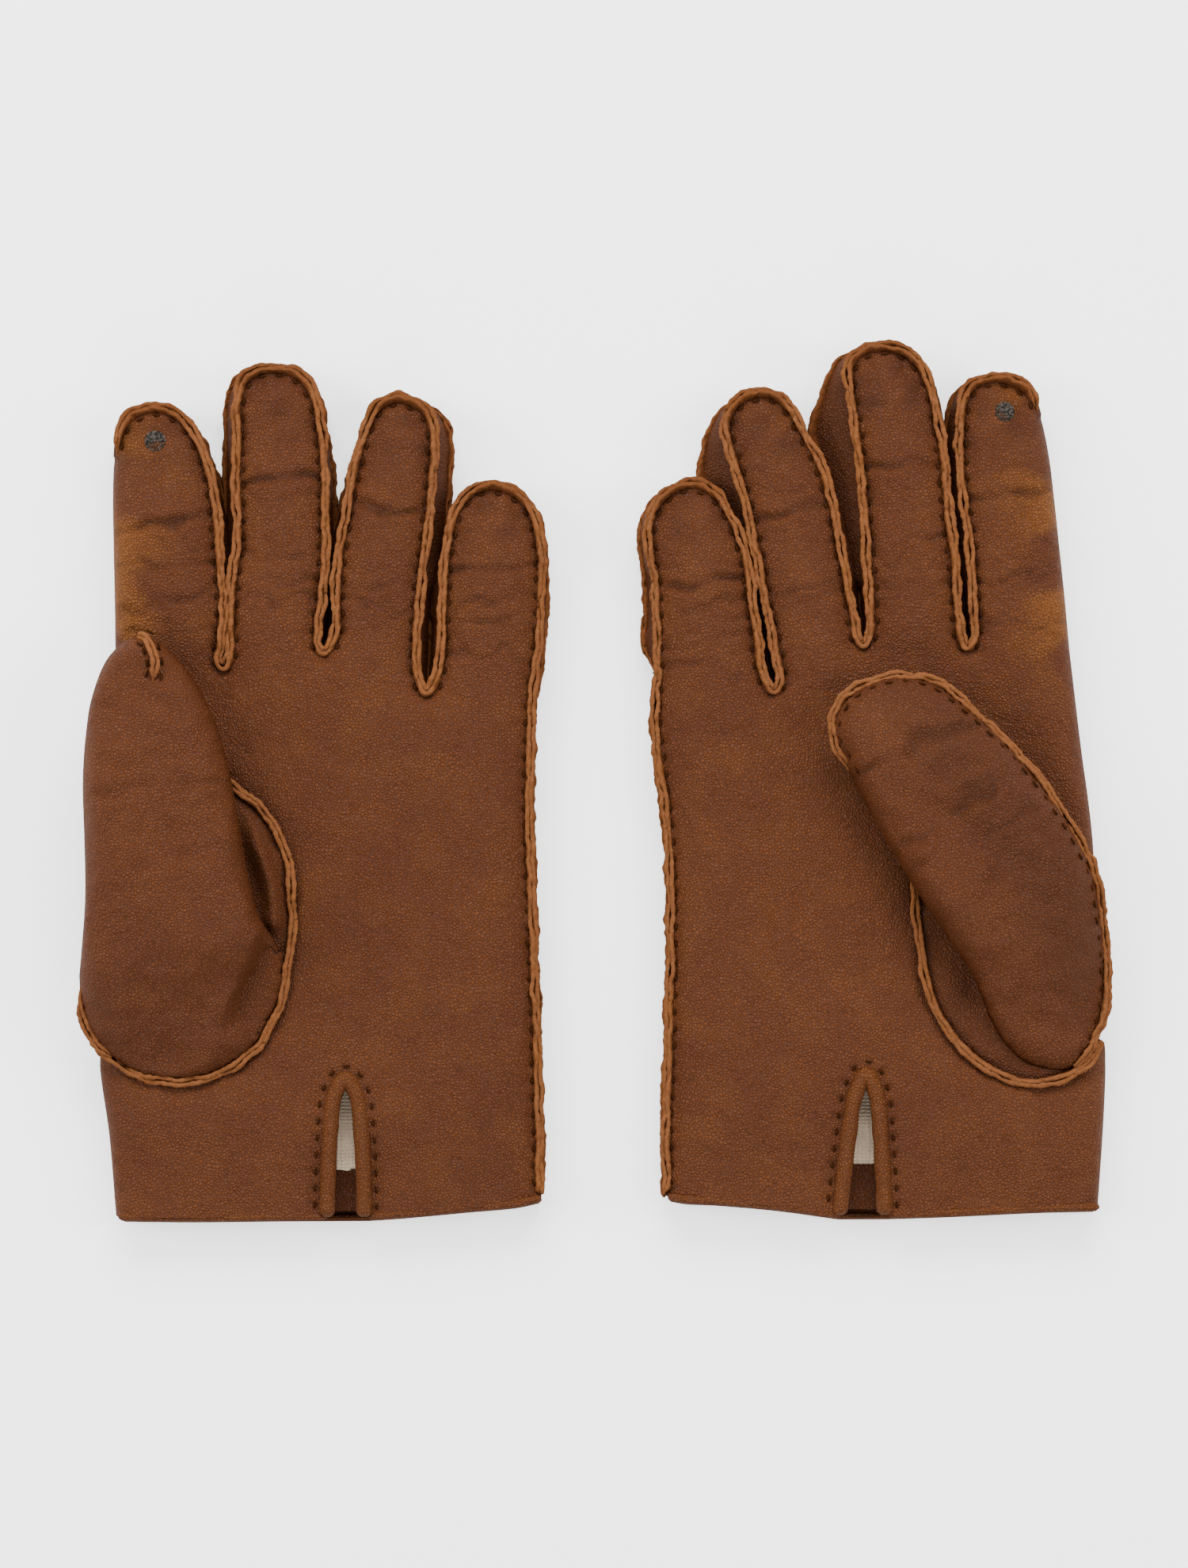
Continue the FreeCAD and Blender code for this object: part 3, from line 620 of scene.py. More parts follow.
class Build:
    """Vertices, faces, normals and vertex values gathered for one piece."""

    def __init__(self):
        self.verts, self.faces, self.normals = [], [], []
        self.values = {"dark": [], "wear": [], "raw": []}
        self.count = 0

    def add(self, verts, faces, normals=None, **values):
        verts = np.asarray(verts, float)
        self.verts.append(verts)
        self.normals.append(np.zeros_like(verts) if normals is None else np.asarray(normals, float))
        self.faces += [tuple(int(i) + self.count for i in face) for face in faces]
        for key, store in self.values.items():
            value = values.get(key, 0.0)
            store.append(np.broadcast_to(np.asarray(value, float), (len(verts),)).copy())
        self.count += len(verts)

    def shell(self, verts, normals, faces, thickness, **values):
        """An open sheet made solid: its copy a thickness inside, joined round the rim."""
        verts, faces = np.asarray(verts, float), np.asarray(faces, int)
        used, faces = np.unique(faces, return_inverse=True)
        faces = faces.reshape(-1, 3)
        v, n = verts[used], unit(np.asarray(normals)[used])
        count = len(used)
        directed = np.vstack([faces[:, [0, 1]], faces[:, [1, 2]], faces[:, [2, 0]]])
        seen = set(map(tuple, directed))
        rim = [(a, b) for a, b in map(tuple, directed) if (b, a) not in seen]
        sides = [(b, a, a + count, b + count) for a, b in rim]
        kept = {k: np.tile(np.asarray(w, float)[used], 2) for k, w in values.items()}
        everything = [*map(tuple, faces), *map(tuple, faces[:, ::-1] + count), *sides]
        self.add(np.vstack([v, v - n * thickness]), everything, np.vstack([n, -n]), **kept)

    def piece(self, name, slot, replaces=()):
        mesh = bpy.data.meshes.new(name)
        verts = np.vstack(self.verts) * MM
        mesh.from_pydata(verts.tolist(), [], self.faces)
        mesh.update()
        mesh.polygons.foreach_set("use_smooth", np.ones(len(mesh.polygons), bool))
        for key, store in self.values.items():
            layer = mesh.attributes.new(key, "FLOAT", "POINT")
            layer.data.foreach_set("value", np.concatenate(store).astype(np.float32))
        normals = np.vstack(self.normals)
        if np.abs(normals).max() > 0:
            mesh.normals_split_custom_set_from_vertices(unit(normals).tolist())
        made = bpy.data.objects.new(name, mesh)
        bpy.context.scene.collection.objects.link(made)
        mesh.materials.append(MATERIALS[slot])
        if replaces:
            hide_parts(*replaces)
        return made


def frames(path, up, tangent=None):
    """Tangent, side and up at each point of a path; side points to the left of its run."""
    tangent = unit(np.gradient(path, axis=0)) if tangent is None else tangent
    side = unit(np.cross(up, tangent))
    return tangent, side, unit(np.cross(tangent, side))


def sweep(build, path, profile, up, scale=None, cap=True, tangent=None, **values):
    """A closed profile of (side, up) points carried along a path, closed at both ends."""
    path = np.asarray(path, float)
    up = np.broadcast_to(np.asarray(up, float), path.shape)
    _, side, rise = frames(path, up, tangent)
    profile = np.asarray(profile, float)
    if profile.ndim == 2:
        profile = np.broadcast_to(profile, (len(path), *profile.shape))
    if scale is not None:
        profile = profile * np.asarray(scale)[:, None, None]
    n, m = profile.shape[:2]
    verts = path[:, None] + side[:, None] * profile[..., :1] + rise[:, None] * profile[..., 1:]
    faces = []
    for i in range(n - 1):
        for k in range(m):
            a, b = i * m + k, i * m + (k + 1) % m
            faces.append((a, b, b + m, a + m))
    if cap:
        faces.append(tuple(range(m))[::-1])
        faces.append(tuple((n - 1) * m + k for k in range(m)))
    shaped = {k: (np.tile(v, n) if np.ndim(v) == 1 and len(v) == m else v) for k, v in values.items()}
    build.add(verts.reshape(-1, 3), faces, **shaped)


def lip_profile(width, height, inner):
    """One edge of a seam, a thin wall with a rounded top, with how raw and how dark each point of it is."""
    half = width / 2
    points = [(-half, -0.9), (half, -0.9), (half, 0.5 * height), (half, 0.90 * height),
              (half * 0.84, height), (-half * 0.84, height), (-half, 0.90 * height), (-half, 0.5 * height)]
    raw = np.array([0, 0, 0.3, 1, 1, 1, 1, 0.3])
    points = np.array(points)
    # painted shade in the groove between the two edges, on each edge's lower inner side; the rest of the edge
    # gets a slight even darkening
    dark = np.where((points[:, 0] * inner > 0) & (points[:, 1] < 0.6 * height), 0.40, 0.1)
    raw = np.where(dark > 0.3, 0, raw)
    return points, raw, dark


def upsample(values):
    """Twice as many samples, each new one half way between its neighbours."""
    half_steps = np.arange(2 * len(values) - 1) / 2
    whole = np.arange(len(values))
    if values.ndim == 1:
        return np.interp(half_steps, whole, values)
    return np.stack([np.interp(half_steps, whole, values[:, k]) for k in range(values.shape[1])], 1)


def seam_edges(build, path, up, seed, at, tangent=None, height=LIP_HEIGHT, taper=None, rawness=None):
    """The two cut edges of a seam, side by side, wavy, and pinched at each stitch. "at" is how far along the
    whole seam each point lies, so that neighbouring parts meet."""
    if len(path) < 3:
        return
    taper = np.ones(len(path)) if taper is None else taper
    rawness = np.ones(len(path)) if rawness is None else rawness
    tangent = unit(np.gradient(path, axis=0)) if tangent is None else tangent
    up = np.broadcast_to(np.asarray(up, float), path.shape)
    path, tangent, up, at, taper, rawness = map(upsample, (path, tangent, up, at, taper, rawness))
    wobble = Waves(seed, 6.5)
    slow = Waves(seed + 1, 17.0)
    rough = Waves(seed + 2, 1.9)
    pinch = 0.5 + 0.5 * np.cos(2 * math.pi * at / STITCH_PITCH)
    for k, offset in enumerate((-0.5, 0.5)):
        line = np.stack([at, np.full(len(at), 9.0 * k)], 1)
        sway = 0.15 * wobble(line * (1, 0.3)) + 0.17 * slow(line * (1, 0.1))
        opening = 0.55 + 0.45 * slow(line * (1, 0) + 9) + 0.5 * (1 - pinch)
        part = offset * (LIP_WIDTH + LIP_GAP * opening)
        rise = 1 + 0.09 * wobble(line + 100) + 0.08 * slow(line + 40) - 0.10 * pinch
        profile, raw, dark = lip_profile(LIP_WIDTH, height, inner=-offset)
        shaped = np.repeat(profile[None], len(path), 0)
        shaped[:, :, 0] += part[:, None] + sway[:, None] * np.clip(profile[None, :, 1] / height, 0, 1)
        shaped[:, :, 1] *= np.where(profile[None, :, 1] > 0, rise[:, None], 1)
        grid = np.stack(np.broadcast_arrays(at[:, None], 2.3 * np.arange(profile.shape[0])[None] + 40 * k), 2)
        nap = rough(grid.reshape(-1, 2)).reshape(grid.shape[:2]) * (profile[None, :, 1] > 0.4 * height)
        shaped[:, :, 0] += 0.085 * nap * np.sign(profile[None, :, 0])
        shaped[:, :, 1] += 0.07 * np.roll(nap, 1, axis=1) * (profile[None, :, 1] > 0.8 * height)
        shaped *= (0.05 + 0.95 * taper)[:, None, None]
        values = (rawness[:, None] * raw[None]).ravel()
        sweep(build, path, shaped, up, tangent=tangent, raw=values, dark=np.tile(dark, len(path)))


def stitch(build, centre, along, up, length=STITCH_LENGTH, radius=STITCH_RADIUS):
    """One stitch: a short round thread, arched, with both ends sunk in the leather."""
    t = np.linspace(-1, 1, 7)
    path = centre + along * (t * length / 2)[:, None] + up * (0.34 - 0.75 * t ** 2)[:, None]
    size = np.sqrt(np.maximum(1 - t ** 4, 0.15))
    angle = np.linspace(0, 2 * math.pi, 7)[:-1]
    ring = np.stack([np.cos(angle), np.sin(angle)], 1) * radius
    sweep(build, path, ring, up, scale=size)


# ---------------------------------------------------------------- one glove


class Digit:
    """A digit's own axes, and how far along and across it a point lies."""

    def __init__(self, hand, name, heading):
        knuckle = JOINTS[f"{hand}_{name}_knuckle"]["pos_m"]
        crease = JOINTS[f"{hand}_{name}_crease"]["pos_m"]
        self.hand, self.name = hand, name
        self.root = np.array(knuckle[:2]) / MM
        turn = math.radians(heading)
        self.along = np.array([math.sin(turn), math.cos(turn)])
        self.across = np.array([math.cos(turn), -math.sin(turn)])
        self.crease = float((np.array(crease[:2]) / MM - self.root) @ self.along)
        self.middle = 0.52 * self.crease
        self.bodies = (f"{hand}_hand", f"{hand}_{name}_base", f"{hand}_{name}_tip")

    def to_plane(self, local):
        local = np.asarray(local, float)
        return self.root + local[:, :1] * self.along + local[:, 1:] * self.across

    def to_local(self, xy):
        d = np.asarray(xy) - self.root
        return np.stack([d @ self.along, d @ self.across], 1)

    def attach(self, piece, part, start=None):
        """Ride the hand, or, for the base and the tip, stay baked in place."""
        start = BLEND_ROW if start is None else start
        if part == "hand":
            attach(piece, self.bodies[0])
        elif part == "base":
            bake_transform(piece)
        else:
            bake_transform(piece)
        return piece


def crossings(local, u):
    """Places along a finger's outline where it passes a row, first on its left and last on its right."""
    above = local[:, 0] > u
    change = np.flatnonzero(above[1:] != above[:-1])
    found = []
    for i in (change[0], change[-1]):
        f = (u - local[i, 0]) / (local[i + 1, 0] - local[i, 0])
        found.append(i + f)
    return found


def evenly(line, stops, spacing):
    """A line as even steps between its named stops, without its last point, and each stop's place in it."""
    out, marks, previous, index = [], {}, 0.0, 0
    grid = np.arange(len(line))
    for key, stop in [*sorted(stops.items(), key=lambda item: item[1]), ("end", float(len(line) - 1))]:
        t = np.concatenate([[previous], grid[(grid > previous) & (grid < stop)], [stop]])
        part = np.stack([np.interp(t, grid, line[:, k]) for k in range(2)], 1)
        part = resample(part, spacing)
        out.append(part[:-1])
        index += len(part) - 1
        marks[key] = index
        previous = stop
    return np.vstack(out), marks


def outline_points(digit, data):
    """A finger's front outline as evenly spaced points that hit both rows, and those points' indices."""
    local = curve(data["outline"])
    stops = dict(zip(("mid_l", "mid_r"), crossings(local, digit.middle)))
    if local[0, 0] <= BLEND_ROW:
        stops.update(zip(("row_l", "row_r"), crossings(local, BLEND_ROW)))
    points, marks = evenly(local, stops, GRAIN_SPACING)
    return np.vstack([points, local[-1:]]), marks


def spread_back(local, data):
    """Where a finger's back stands, for points on its front outline."""
    out = local.copy()
    longest = max(p[0] for p in data["outline"])
    left_end, right_end = data["outline"][0][0], data["outline"][-1][0]
    ends = np.where(local[:, 1] < 0, left_end, right_end)
    open_up = smoothstep(local[:, 0] - ends, 0.5, 8)
    onward = np.clip((local[:, 0] - 8) / (0.72 * longest - 8), 0, 1)
    closing = smoothstep(local[:, 0], 0.72 * longest, 0.95 * longest)
    share = [
        (root + (tip - root) * onward) * (1 - 0.65 * min(max((tip - 0.5) / 0.4, 0), 1) * closing)
        for root, tip in data["spread"]
    ]
    out[:, 1] = local[:, 1] * (1 + np.where(local[:, 1] < 0, *share) * open_up)
    return out


class Glove:
    def __init__(self, hand):
        self.hand = hand
        self.data = GLOVES[hand]
        self.sign = 1 if hand == "left" else -1
        self.seed = 10 if hand == "left" else 60
        self.digits = {n: Digit(hand, n, d["heading"]) for n, d in self.data["fingers"].items()}
        self.thumb = Digit(hand, "thumb", self.data["thumb"]["heading"])
        self.make_loops()
        self.make_stitch_places()
        self.make_front()
        self.make_back()

    # The loop runs clockwise from the hem's left corner, up that side, round the fingers and down again.
    def make_loops(self):
        data, hand = self.data, self.hand
        points, back, tags, owner = [], [], [], []
        self.rows = {}

        def add(line, tag, name=None, behind=None):
            for p, q in zip(line, line if behind is None else behind):
                points.append(p)
                back.append(q)
                tags.append(tag)
                owner.append(name)

        def plain(line, tag):
            add(resample(curve(line), GRAIN_SPACING, ends=False), tag)

        outlines = {}
        for name in data["order"]:
            digit = self.digits[name]
            facts = data["fingers"][name]
            local, marks = outline_points(digit, facts)
            behind = digit.to_plane(spread_back(local, facts))
            outlines[name] = (local, marks, digit.to_plane(local), behind)
        self.keep_apart(outlines)
        first, last = data["order"][0], data["order"][-1]
        start, end = outlines[first][2][0], outlines[last][2][-1]
        if hand == "left":
            plain([*data["fold"], data["oval"][0]], "fold")
            plain(data["oval"], "oval")
            plain([data["oval"][-1], *data["fold_top"], start], "fold")
        else:
            plain([*data["side"], start], "side")
        for name in data["order"]:
            local, marks, front, behind = outlines[name]
            facts = data["fingers"][name]
            base = len(points)
            for i, (p, q) in enumerate(zip(front[:-1], behind[:-1])):
                u, v = local[i]
                folded = facts.get("fold") and (v < 0) == (facts["fold"] == "left") and u < facts["fold_end"]
                outer = name == "little" and (v > 0) == (hand == "left") and u < 30
                add([p], "fold" if folded else ("outer" if outer else "seam"), name, [p if folded else q])
            self.rows[name] = {k: base + i for k, i in marks.items() if k != "end"}
        if hand == "left":
            plain([end, *data["side"]], "side")
            corner = data["side"][-1]
        else:
            plain([end, *data["fold_top"], data["oval"][0]], "fold")
            plain(data["oval"], "oval")
            plain([data["oval"][-1], *data["fold"]], "fold")
            corner = data["fold"][-1]
        plain([corner, *data["hem"], data["vent"][0]], "hem")
        plain(data["vent"], "vent")
        plain([data["vent"][-1], *data["hem_end"], points[0]], "hem")
        self.loop = np.array(points)
        self.behind = np.array(back)
        for name in data["order"][1:]:
            bottom = owner.index(name)
            for _ in range(5):
                near = np.arange(bottom - 3, bottom + 4)
                for line in (self.loop, self.behind):
                    line[near] = 0.5 * line[near] + 0.25 * (line[near - 1] + line[near + 1])
        self.tags = np.array(tags)
        self.owner = np.array([o or "" for o in owner])
        # Height of the front's edge and of the back's edge, smoothed along the loop.
        self.front_z = self.soften(np.array([EDGE_Z[t][0] for t in tags]), 8)
        self.back_z = self.soften(np.array([EDGE_Z[t][1] for t in tags]), 8)
        fold = self.tags == "fold"
        self.front_z[fold] = self.back_z[fold] = 0.5 * (self.front_z[fold] + self.back_z[fold])

    def keep_apart(self, outlines):
        """The backs of neighbouring fingers may meet between the fingers, but do not cross."""
        order = self.data["order"]
        pairs = [(a, b, 1) for a, b in zip(order, order[1:])]
        pairs += [(b, a, -1) for a, b, _ in pairs]
        for one, other, side in pairs:
            local, _, front, behind = outlines[one]
            mine = local[:, 1] * side > 0
            facing = outlines[other][2][outlines[other][0][:, 1] * side < 0]
            gap = nearest(front[mine], facing)[0]
            limit = 0.46 * gap + 14 * smoothstep(local[mine, 0], 12, 26)
            shift = behind[mine] - front[mine]
            size = np.linalg.norm(shift, axis=1)
            behind[mine] = front[mine] + shift * np.minimum(1, limit / np.maximum(size, 1e-6))[:, None]

    def loop_tangent(self, spots):
        return unit(np.roll(spots, -2, axis=0) - np.roll(spots, 2, axis=0))

    def seam_taper(self):
        """How full the seam's edges stand, which is nothing where a seam runs out into a fold."""
        at = lengths(self.loop)
        taper = np.where(self.tags == "fold", 0.0, 1.0)
        for name in self.digits:
            mine = np.flatnonzero(self.owner == name)
            fold = mine[self.tags[mine] == "fold"]
            seam = mine[self.tags[mine] == "seam"]
            if len(fold):
                gap = np.abs(at[seam][:, None] - at[fold][None]).min(1)
                taper[seam] = smoothstep(gap, 0, 7)
        return at, taper

    def seam_rawness(self):
        """Over a fingertip the edges lie flat, so more of their dyed side shows."""
        raw = np.ones(len(self.loop))
        for name, digit in self.digits.items():
            mine = np.flatnonzero(self.owner == name)
            u = digit.to_local(self.loop[mine])[:, 0]
            raw[mine] = 1 - 0.45 * smoothstep(u, u.max() - 7, u.max() - 1)
        return raw

    def soften(self, values, reach):
        kernel = np.hanning(2 * reach + 3)[1:-1]
        kernel /= kernel.sum()
        padded = np.concatenate([values[-reach:], values, values[:reach]])
        return np.convolve(padded, kernel, "valid")

    def inward(self, tangent_loop):
        """The unit direction to the inside at each point of the clockwise loop."""
        t = unit(np.roll(tangent_loop, -1, axis=0) - np.roll(tangent_loop, 1, axis=0))
        return np.stack([t[:, 1], -t[:, 0]], 1)

    def runs(self, wanted, name=None):
        """Runs of neighbouring loop indices with these tags."""
        ok = np.isin(self.tags, wanted) & ((self.owner == name) if name else True)
        index = np.flatnonzero(ok)
        if not len(index):
            return []
        cuts = np.flatnonzero(np.diff(index) > 1) + 1
        return [r for r in np.split(index, cuts) if len(r) > 2]

    def make_stitch_places(self):
        """Each stitch's place, direction and owner, a little inside the seam."""
        inward = self.inward(self.loop)
        self.stitches = []
        for wanted, owner in ((["seam", "outer"], "finger"), (["side"], "side")):
            for run in self.runs(wanted):
                line = self.loop[run] + inward[run] * STITCH_INSET
                line = np.stack([smoothed(line[:, k]) for k in range(2)], 1)
                s = lengths(line)
                if s[-1] < STITCH_PITCH:
                    continue
                count = int(s[-1] / STITCH_PITCH)
                for t in (np.arange(count) + 0.5) * s[-1] / count:
                    p = np.array([np.interp(t, s, line[:, k]) for k in range(2)])
                    q = np.array([np.interp(min(t + 0.6, s[-1]), s, line[:, k]) for k in range(2)])
                    i = run[np.searchsorted(s, t).clip(0, len(run) - 1)]
                    if np.linalg.norm(q - p) > 1e-6:
                        self.stitches.append((p, unit(q - p), owner, self.owner[i]))
        vent = curve(self.data["vent"])
        t = unit(np.gradient(vent, axis=0))
        outside = vent + np.stack([-t[:, 1], t[:, 0]], 1) * (BINDING_RADIUS + 1.2)
        middle = np.array(self.data["vent"]).mean(0)
        if np.linalg.norm(outside[0] - middle) < np.linalg.norm(vent[0] - middle):
            outside = 2 * vent - outside
        s = lengths(outside)
        for d in np.arange(2.5, s[-1] - 2, STITCH_PITCH):
            p = np.array([np.interp(d, s, outside[:, k]) for k in range(2)])
            q = np.array([np.interp(d + 0.6, s, outside[:, k]) for k in range(2)])
            self.stitches.append((p, unit(q - p), "vent", ""))

    def crown(self, xy):
        """How high the full glove stands at a place in plan."""
        y = xy[:, 1]
        high = HAND_CROWN + (FINGER_CROWN - HAND_CROWN) * smoothstep(y, 22, 46)
        return high - (HAND_CROWN - HEM_CROWN) * smoothstep(-y, 84, 114)

    def make_front(self):
        lines = []
        for name in self.data["order"]:
            rows = self.rows[name]
            if "row_l" in rows:
                lines.append((rows["row_l"], rows["row_r"]))
            lines.append((rows["mid_l"], rows["mid_r"]))
        sheet = self.front = Sheet(self.loop, lines, GRAIN_SPACING)
        held_tags = ~np.isin(self.tags, ["hem", "vent"])
        held = sheet.loop_vertex[held_tags]
        u = sheet.puff(held, PUFF_RANGE)
        base = spread_value(sheet.xy, self.loop[held_tags], self.front_z[held_tags])
        folded = (self.tags[held_tags] == "fold").astype(float)
        foldness = spread_value(sheet.xy, self.loop[held_tags], folded)
        round_edge = np.sqrt(np.clip(u * (2 - u), 0, 1))
        soft_edge = np.clip(u, 0, 1) ** 0.72 * 1.02
        p = np.clip(round_edge * foldness + soft_edge * (1 - foldness), 0, 1)
        z = base + (self.crown(sheet.xy) - base) * p
        sheet.z = z
        self.front_dark = np.zeros(len(z))
        self.front_wear = np.zeros(len(z))
        self.relief(sheet, u)
        for i, vertex in enumerate(sheet.loop_vertex):
            if held_tags[i] and vertex >= 0:
                sheet.z[vertex] = self.front_z[i]
        self.front_tree = self.tree(sheet)

    def relief(self, sheet, u):
        """Creases over joints, drag lines in the palm, unevenness, and a pucker under each stitch, with
        painted shade in the creases, puckers and along the seams and a painted highlight by the index
        finger's fold.
        """
        xy, seed = sheet.xy, self.seed
        open_part = smoothstep(u, 0.0, 0.45)
        z = 0.20 * Waves(seed, 30.0)(xy) + 0.05 * Waves(seed + 1, 9.0)(xy) + 0.025 * Waves(seed + 2, 3.6)(xy)
        dark = np.zeros(len(xy))
        wiggle = Waves(seed + 3, 9.0)(xy) * 0.8
        for name, digit in self.digits.items():
            local = digit.to_local(xy)
            near = smoothstep(15.5 - np.abs(local[:, 1]), 0, 3) * (local[:, 0] > -14)
            for k, (at, depth, slant, width) in enumerate(self.data["fingers"][name]["creases"]):
                bend = wiggle * (0.6 + 0.2 * k)
                d = local[:, 0] - at - slant * local[:, 1] - bend
                fade = 0.45 + 0.55 * smoothstep(Waves(seed + 7 * k + 11, 15.0)(xy), -0.6, 0.5)
                width *= 0.68
                valley = np.exp(-(d / width) ** 2) * fade * near
                ridge = np.exp(-((np.abs(d) - 2.6 * width) / (1.5 * width)) ** 2) * fade * near
                z += depth * (0.32 * ridge - 0.95 * valley)
                # painted shade in the bottom of each crease
                dark += 0.60 * depth * valley
            tip = smoothstep(local[:, 0], digit.crease + 6, digit.crease + 18) * near
            dark += 0.16 * tip * (1 + 0.5 * Waves(seed + 23, 8.0)(xy))
            phase = local[:, 0] * (2 * math.pi / 3.4) + 1.7 * wiggle + 0.05 * local[:, 1]
            line = np.exp(-(np.sin(phase / 2) / 0.30) ** 2)
            patch = smoothstep(Waves(seed + 21, 13.0)(xy * (0.6, 1.0)), 0.15, 1.0)
            patch = patch * smoothstep(55 - local[:, 0], 0, 20)
            z -= 0.24 * line * patch * near
            # painted shade in each fine wrinkle line
            dark += 0.20 * line * patch * near
        drag = np.sin(xy @ np.array([0.42, 0.31 * self.sign]) + 2.2 * wiggle)
        drag = drag * smoothstep(Waves(seed + 5, 34)(xy), 0.1, 1.0)
        palm = smoothstep(-xy[:, 1], -22, 0) * smoothstep(xy[:, 1], -95, -60)
        z += 0.08 * drag * palm
        centres = np.array([s[0] for s in self.stitches])
        d, _ = nearest(xy, centres)
        z -= 0.50 * np.exp(-(d / 1.15) ** 2)
        # painted shade in the dimple that each stitch pulls
        dark += 0.26 * np.exp(-(d / 1.0) ** 2)
        # painted shade along the seams, beside the standing edges
        rim, _ = nearest(xy, self.loop[np.isin(self.tags, ["seam", "outer", "side", "oval"])])
        dark += 0.34 * np.exp(-(rim / 1.5) ** 2)
        groove = np.exp(-((rim - STITCH_INSET) / 1.0) ** 2)
        z -= 0.22 * groove
        self.front_wear = 0.10 * np.clip(Waves(seed + 8, 15.0)(xy), 0, 1)
        # painted highlight: gold along the index finger's fold edge
        folded = self.loop[(self.tags == "fold") & (self.owner == "index")]
        gold = np.exp(-(nearest(xy, folded)[0] / 10.0) ** 2)
        gold = gold * smoothstep(Waves(seed + 9, 24.0)(xy), -0.7, 0.6)
        self.front_wear = np.clip(self.front_wear + 0.9 * gold, 0, 0.9)
        self.front_dark = np.clip(dark, 0, 0.8)
        sheet.z += z * (0.35 + 0.65 * open_part)

    def tree(self, sheet):
        found = kdtree.KDTree(len(sheet.xy))
        for i, (x, y) in enumerate(sheet.xy):
            found.insert((x, y, 0), i)
        found.balance()
        return found

    def height(self, xy):
        """The front's height at places in plan."""
        out = np.empty(len(xy))
        for k, (x, y) in enumerate(xy):
            near = self.front_tree.find_n((x, y, 0), 3)
            w = np.array([1 / (d + 0.05) for _, _, d in near])
            out[k] = (w * self.front.z[[i for _, i, _ in near]]).sum() / w.sum()
        return out

    def make_back(self):
        """The back of the glove, on which it rests, and the hidden edge of the thumb opening's fold side."""
        keep = ~np.isin(self.tags, ["vent"])
        keep_points, keep_z, keep_tags = [], [], []
        oval_done = False
        self.back_of = np.full(len(self.loop), -1)
        drop = np.where(self.tags == "hem", -0.9, 0.0)
        for i in range(len(self.loop)):
            if not keep[i]:
                continue
            if self.tags[i] == "oval":
                if not oval_done:
                    oval_done = True
                    ends = self.data["oval"]
                    line = [ends[0], *self.data["back_fold"], ends[-1]]
                    for p in resample(curve(line), GRAIN_SPACING, ends=False):
                        keep_points.append(p)
                        keep_z.append(FOLD_Z)
                        keep_tags.append("fold")
                continue
            self.back_of[i] = len(keep_points)
            keep_points.append(self.behind[i] + (0, drop[i]))
            keep_z.append(self.back_z[i])
            keep_tags.append(self.tags[i])
        self.back_loop = np.array(keep_points)
        self.back_tags = np.array(keep_tags)
        lines = []
        for name in self.data["order"]:
            rows = {k: self.back_of[i] for k, i in self.rows[name].items()}
            if "row_l" in rows:
                lines.append((rows["row_l"], rows["row_r"]))
            lines.append((rows["mid_l"], rows["mid_r"]))
        sheet = self.back = Sheet(self.back_loop, lines, BACK_SPACING)
        held_tags = self.back_tags != "hem"
        edge_z = np.array(keep_z)
        held = sheet.loop_vertex[held_tags]
        u = sheet.puff(held, PUFF_RANGE, 200)
        base = spread_value(sheet.xy, self.back_loop[held_tags], edge_z[held_tags])
        p = np.sqrt(np.clip(u * (2 - u), 0, 1))
        uneven = 0.35 * (Waves(self.seed + 20, 24.0)(sheet.xy) + 1)
        sheet.z = base + (FLOOR + uneven * 0.5 + 0.9 * smoothstep(-sheet.xy[:, 1], 95, 114) - base) * p
        for i, vertex in enumerate(sheet.loop_vertex):
            if held_tags[i] and vertex >= 0:
                sheet.z[vertex] = edge_z[i]
        sheet.z = np.maximum(sheet.z, FLOOR)

    # ------------------------------------------------ what belongs to which moving part

    def on_hand(self, build, name, slot, *replaced):
        """A piece that rides the hand, and the CAD nodes that it stands in for."""
        nodes = [f"{self.hand}_{node}" for node in replaced]
        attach(build.piece(f"{self.hand}_{name}", slot, nodes), f"{self.hand}_hand")

    def part_of(self, xy, name):
        """0 on the hand, 1 on the digit's base and 2 on its tip, for face centres of that digit."""
        u = self.digits[name].to_local(xy)[:, 0]
        return np.where(u > self.digits[name].middle, 2, np.where(u > BLEND_ROW, 1, 0))

    def digit_of(self, xy):
        """Which finger each face centre belongs to, by lying within its width."""
        found = np.full(len(xy), "", dtype=object)
        for name, digit in self.digits.items():
            local = digit.to_local(xy)
            reach = np.array([p[1] for p in self.data["fingers"][name]["outline"]])
            left, right = (max(pair) for pair in self.data["fingers"][name]["spread"])
            low, high = reach.min() * (1.02 + left) - 1, reach.max() * (1.02 + right) + 1
            hit = (local[:, 0] > BLEND_ROW) & (local[:, 1] > low) & (local[:, 1] < high)
            clash = hit & (found != "")
            for i in np.flatnonzero(clash):
                other = self.digits[found[i]]
                if abs(local[i, 1]) > abs(other.to_local(xy[i:i + 1])[0, 1]):
                    hit[i] = False
            found[hit] = name
        return found

    def build_leather(self):
        front, back = self.front, self.back
        nf, nb = front.normals(), back.normals(down=True)
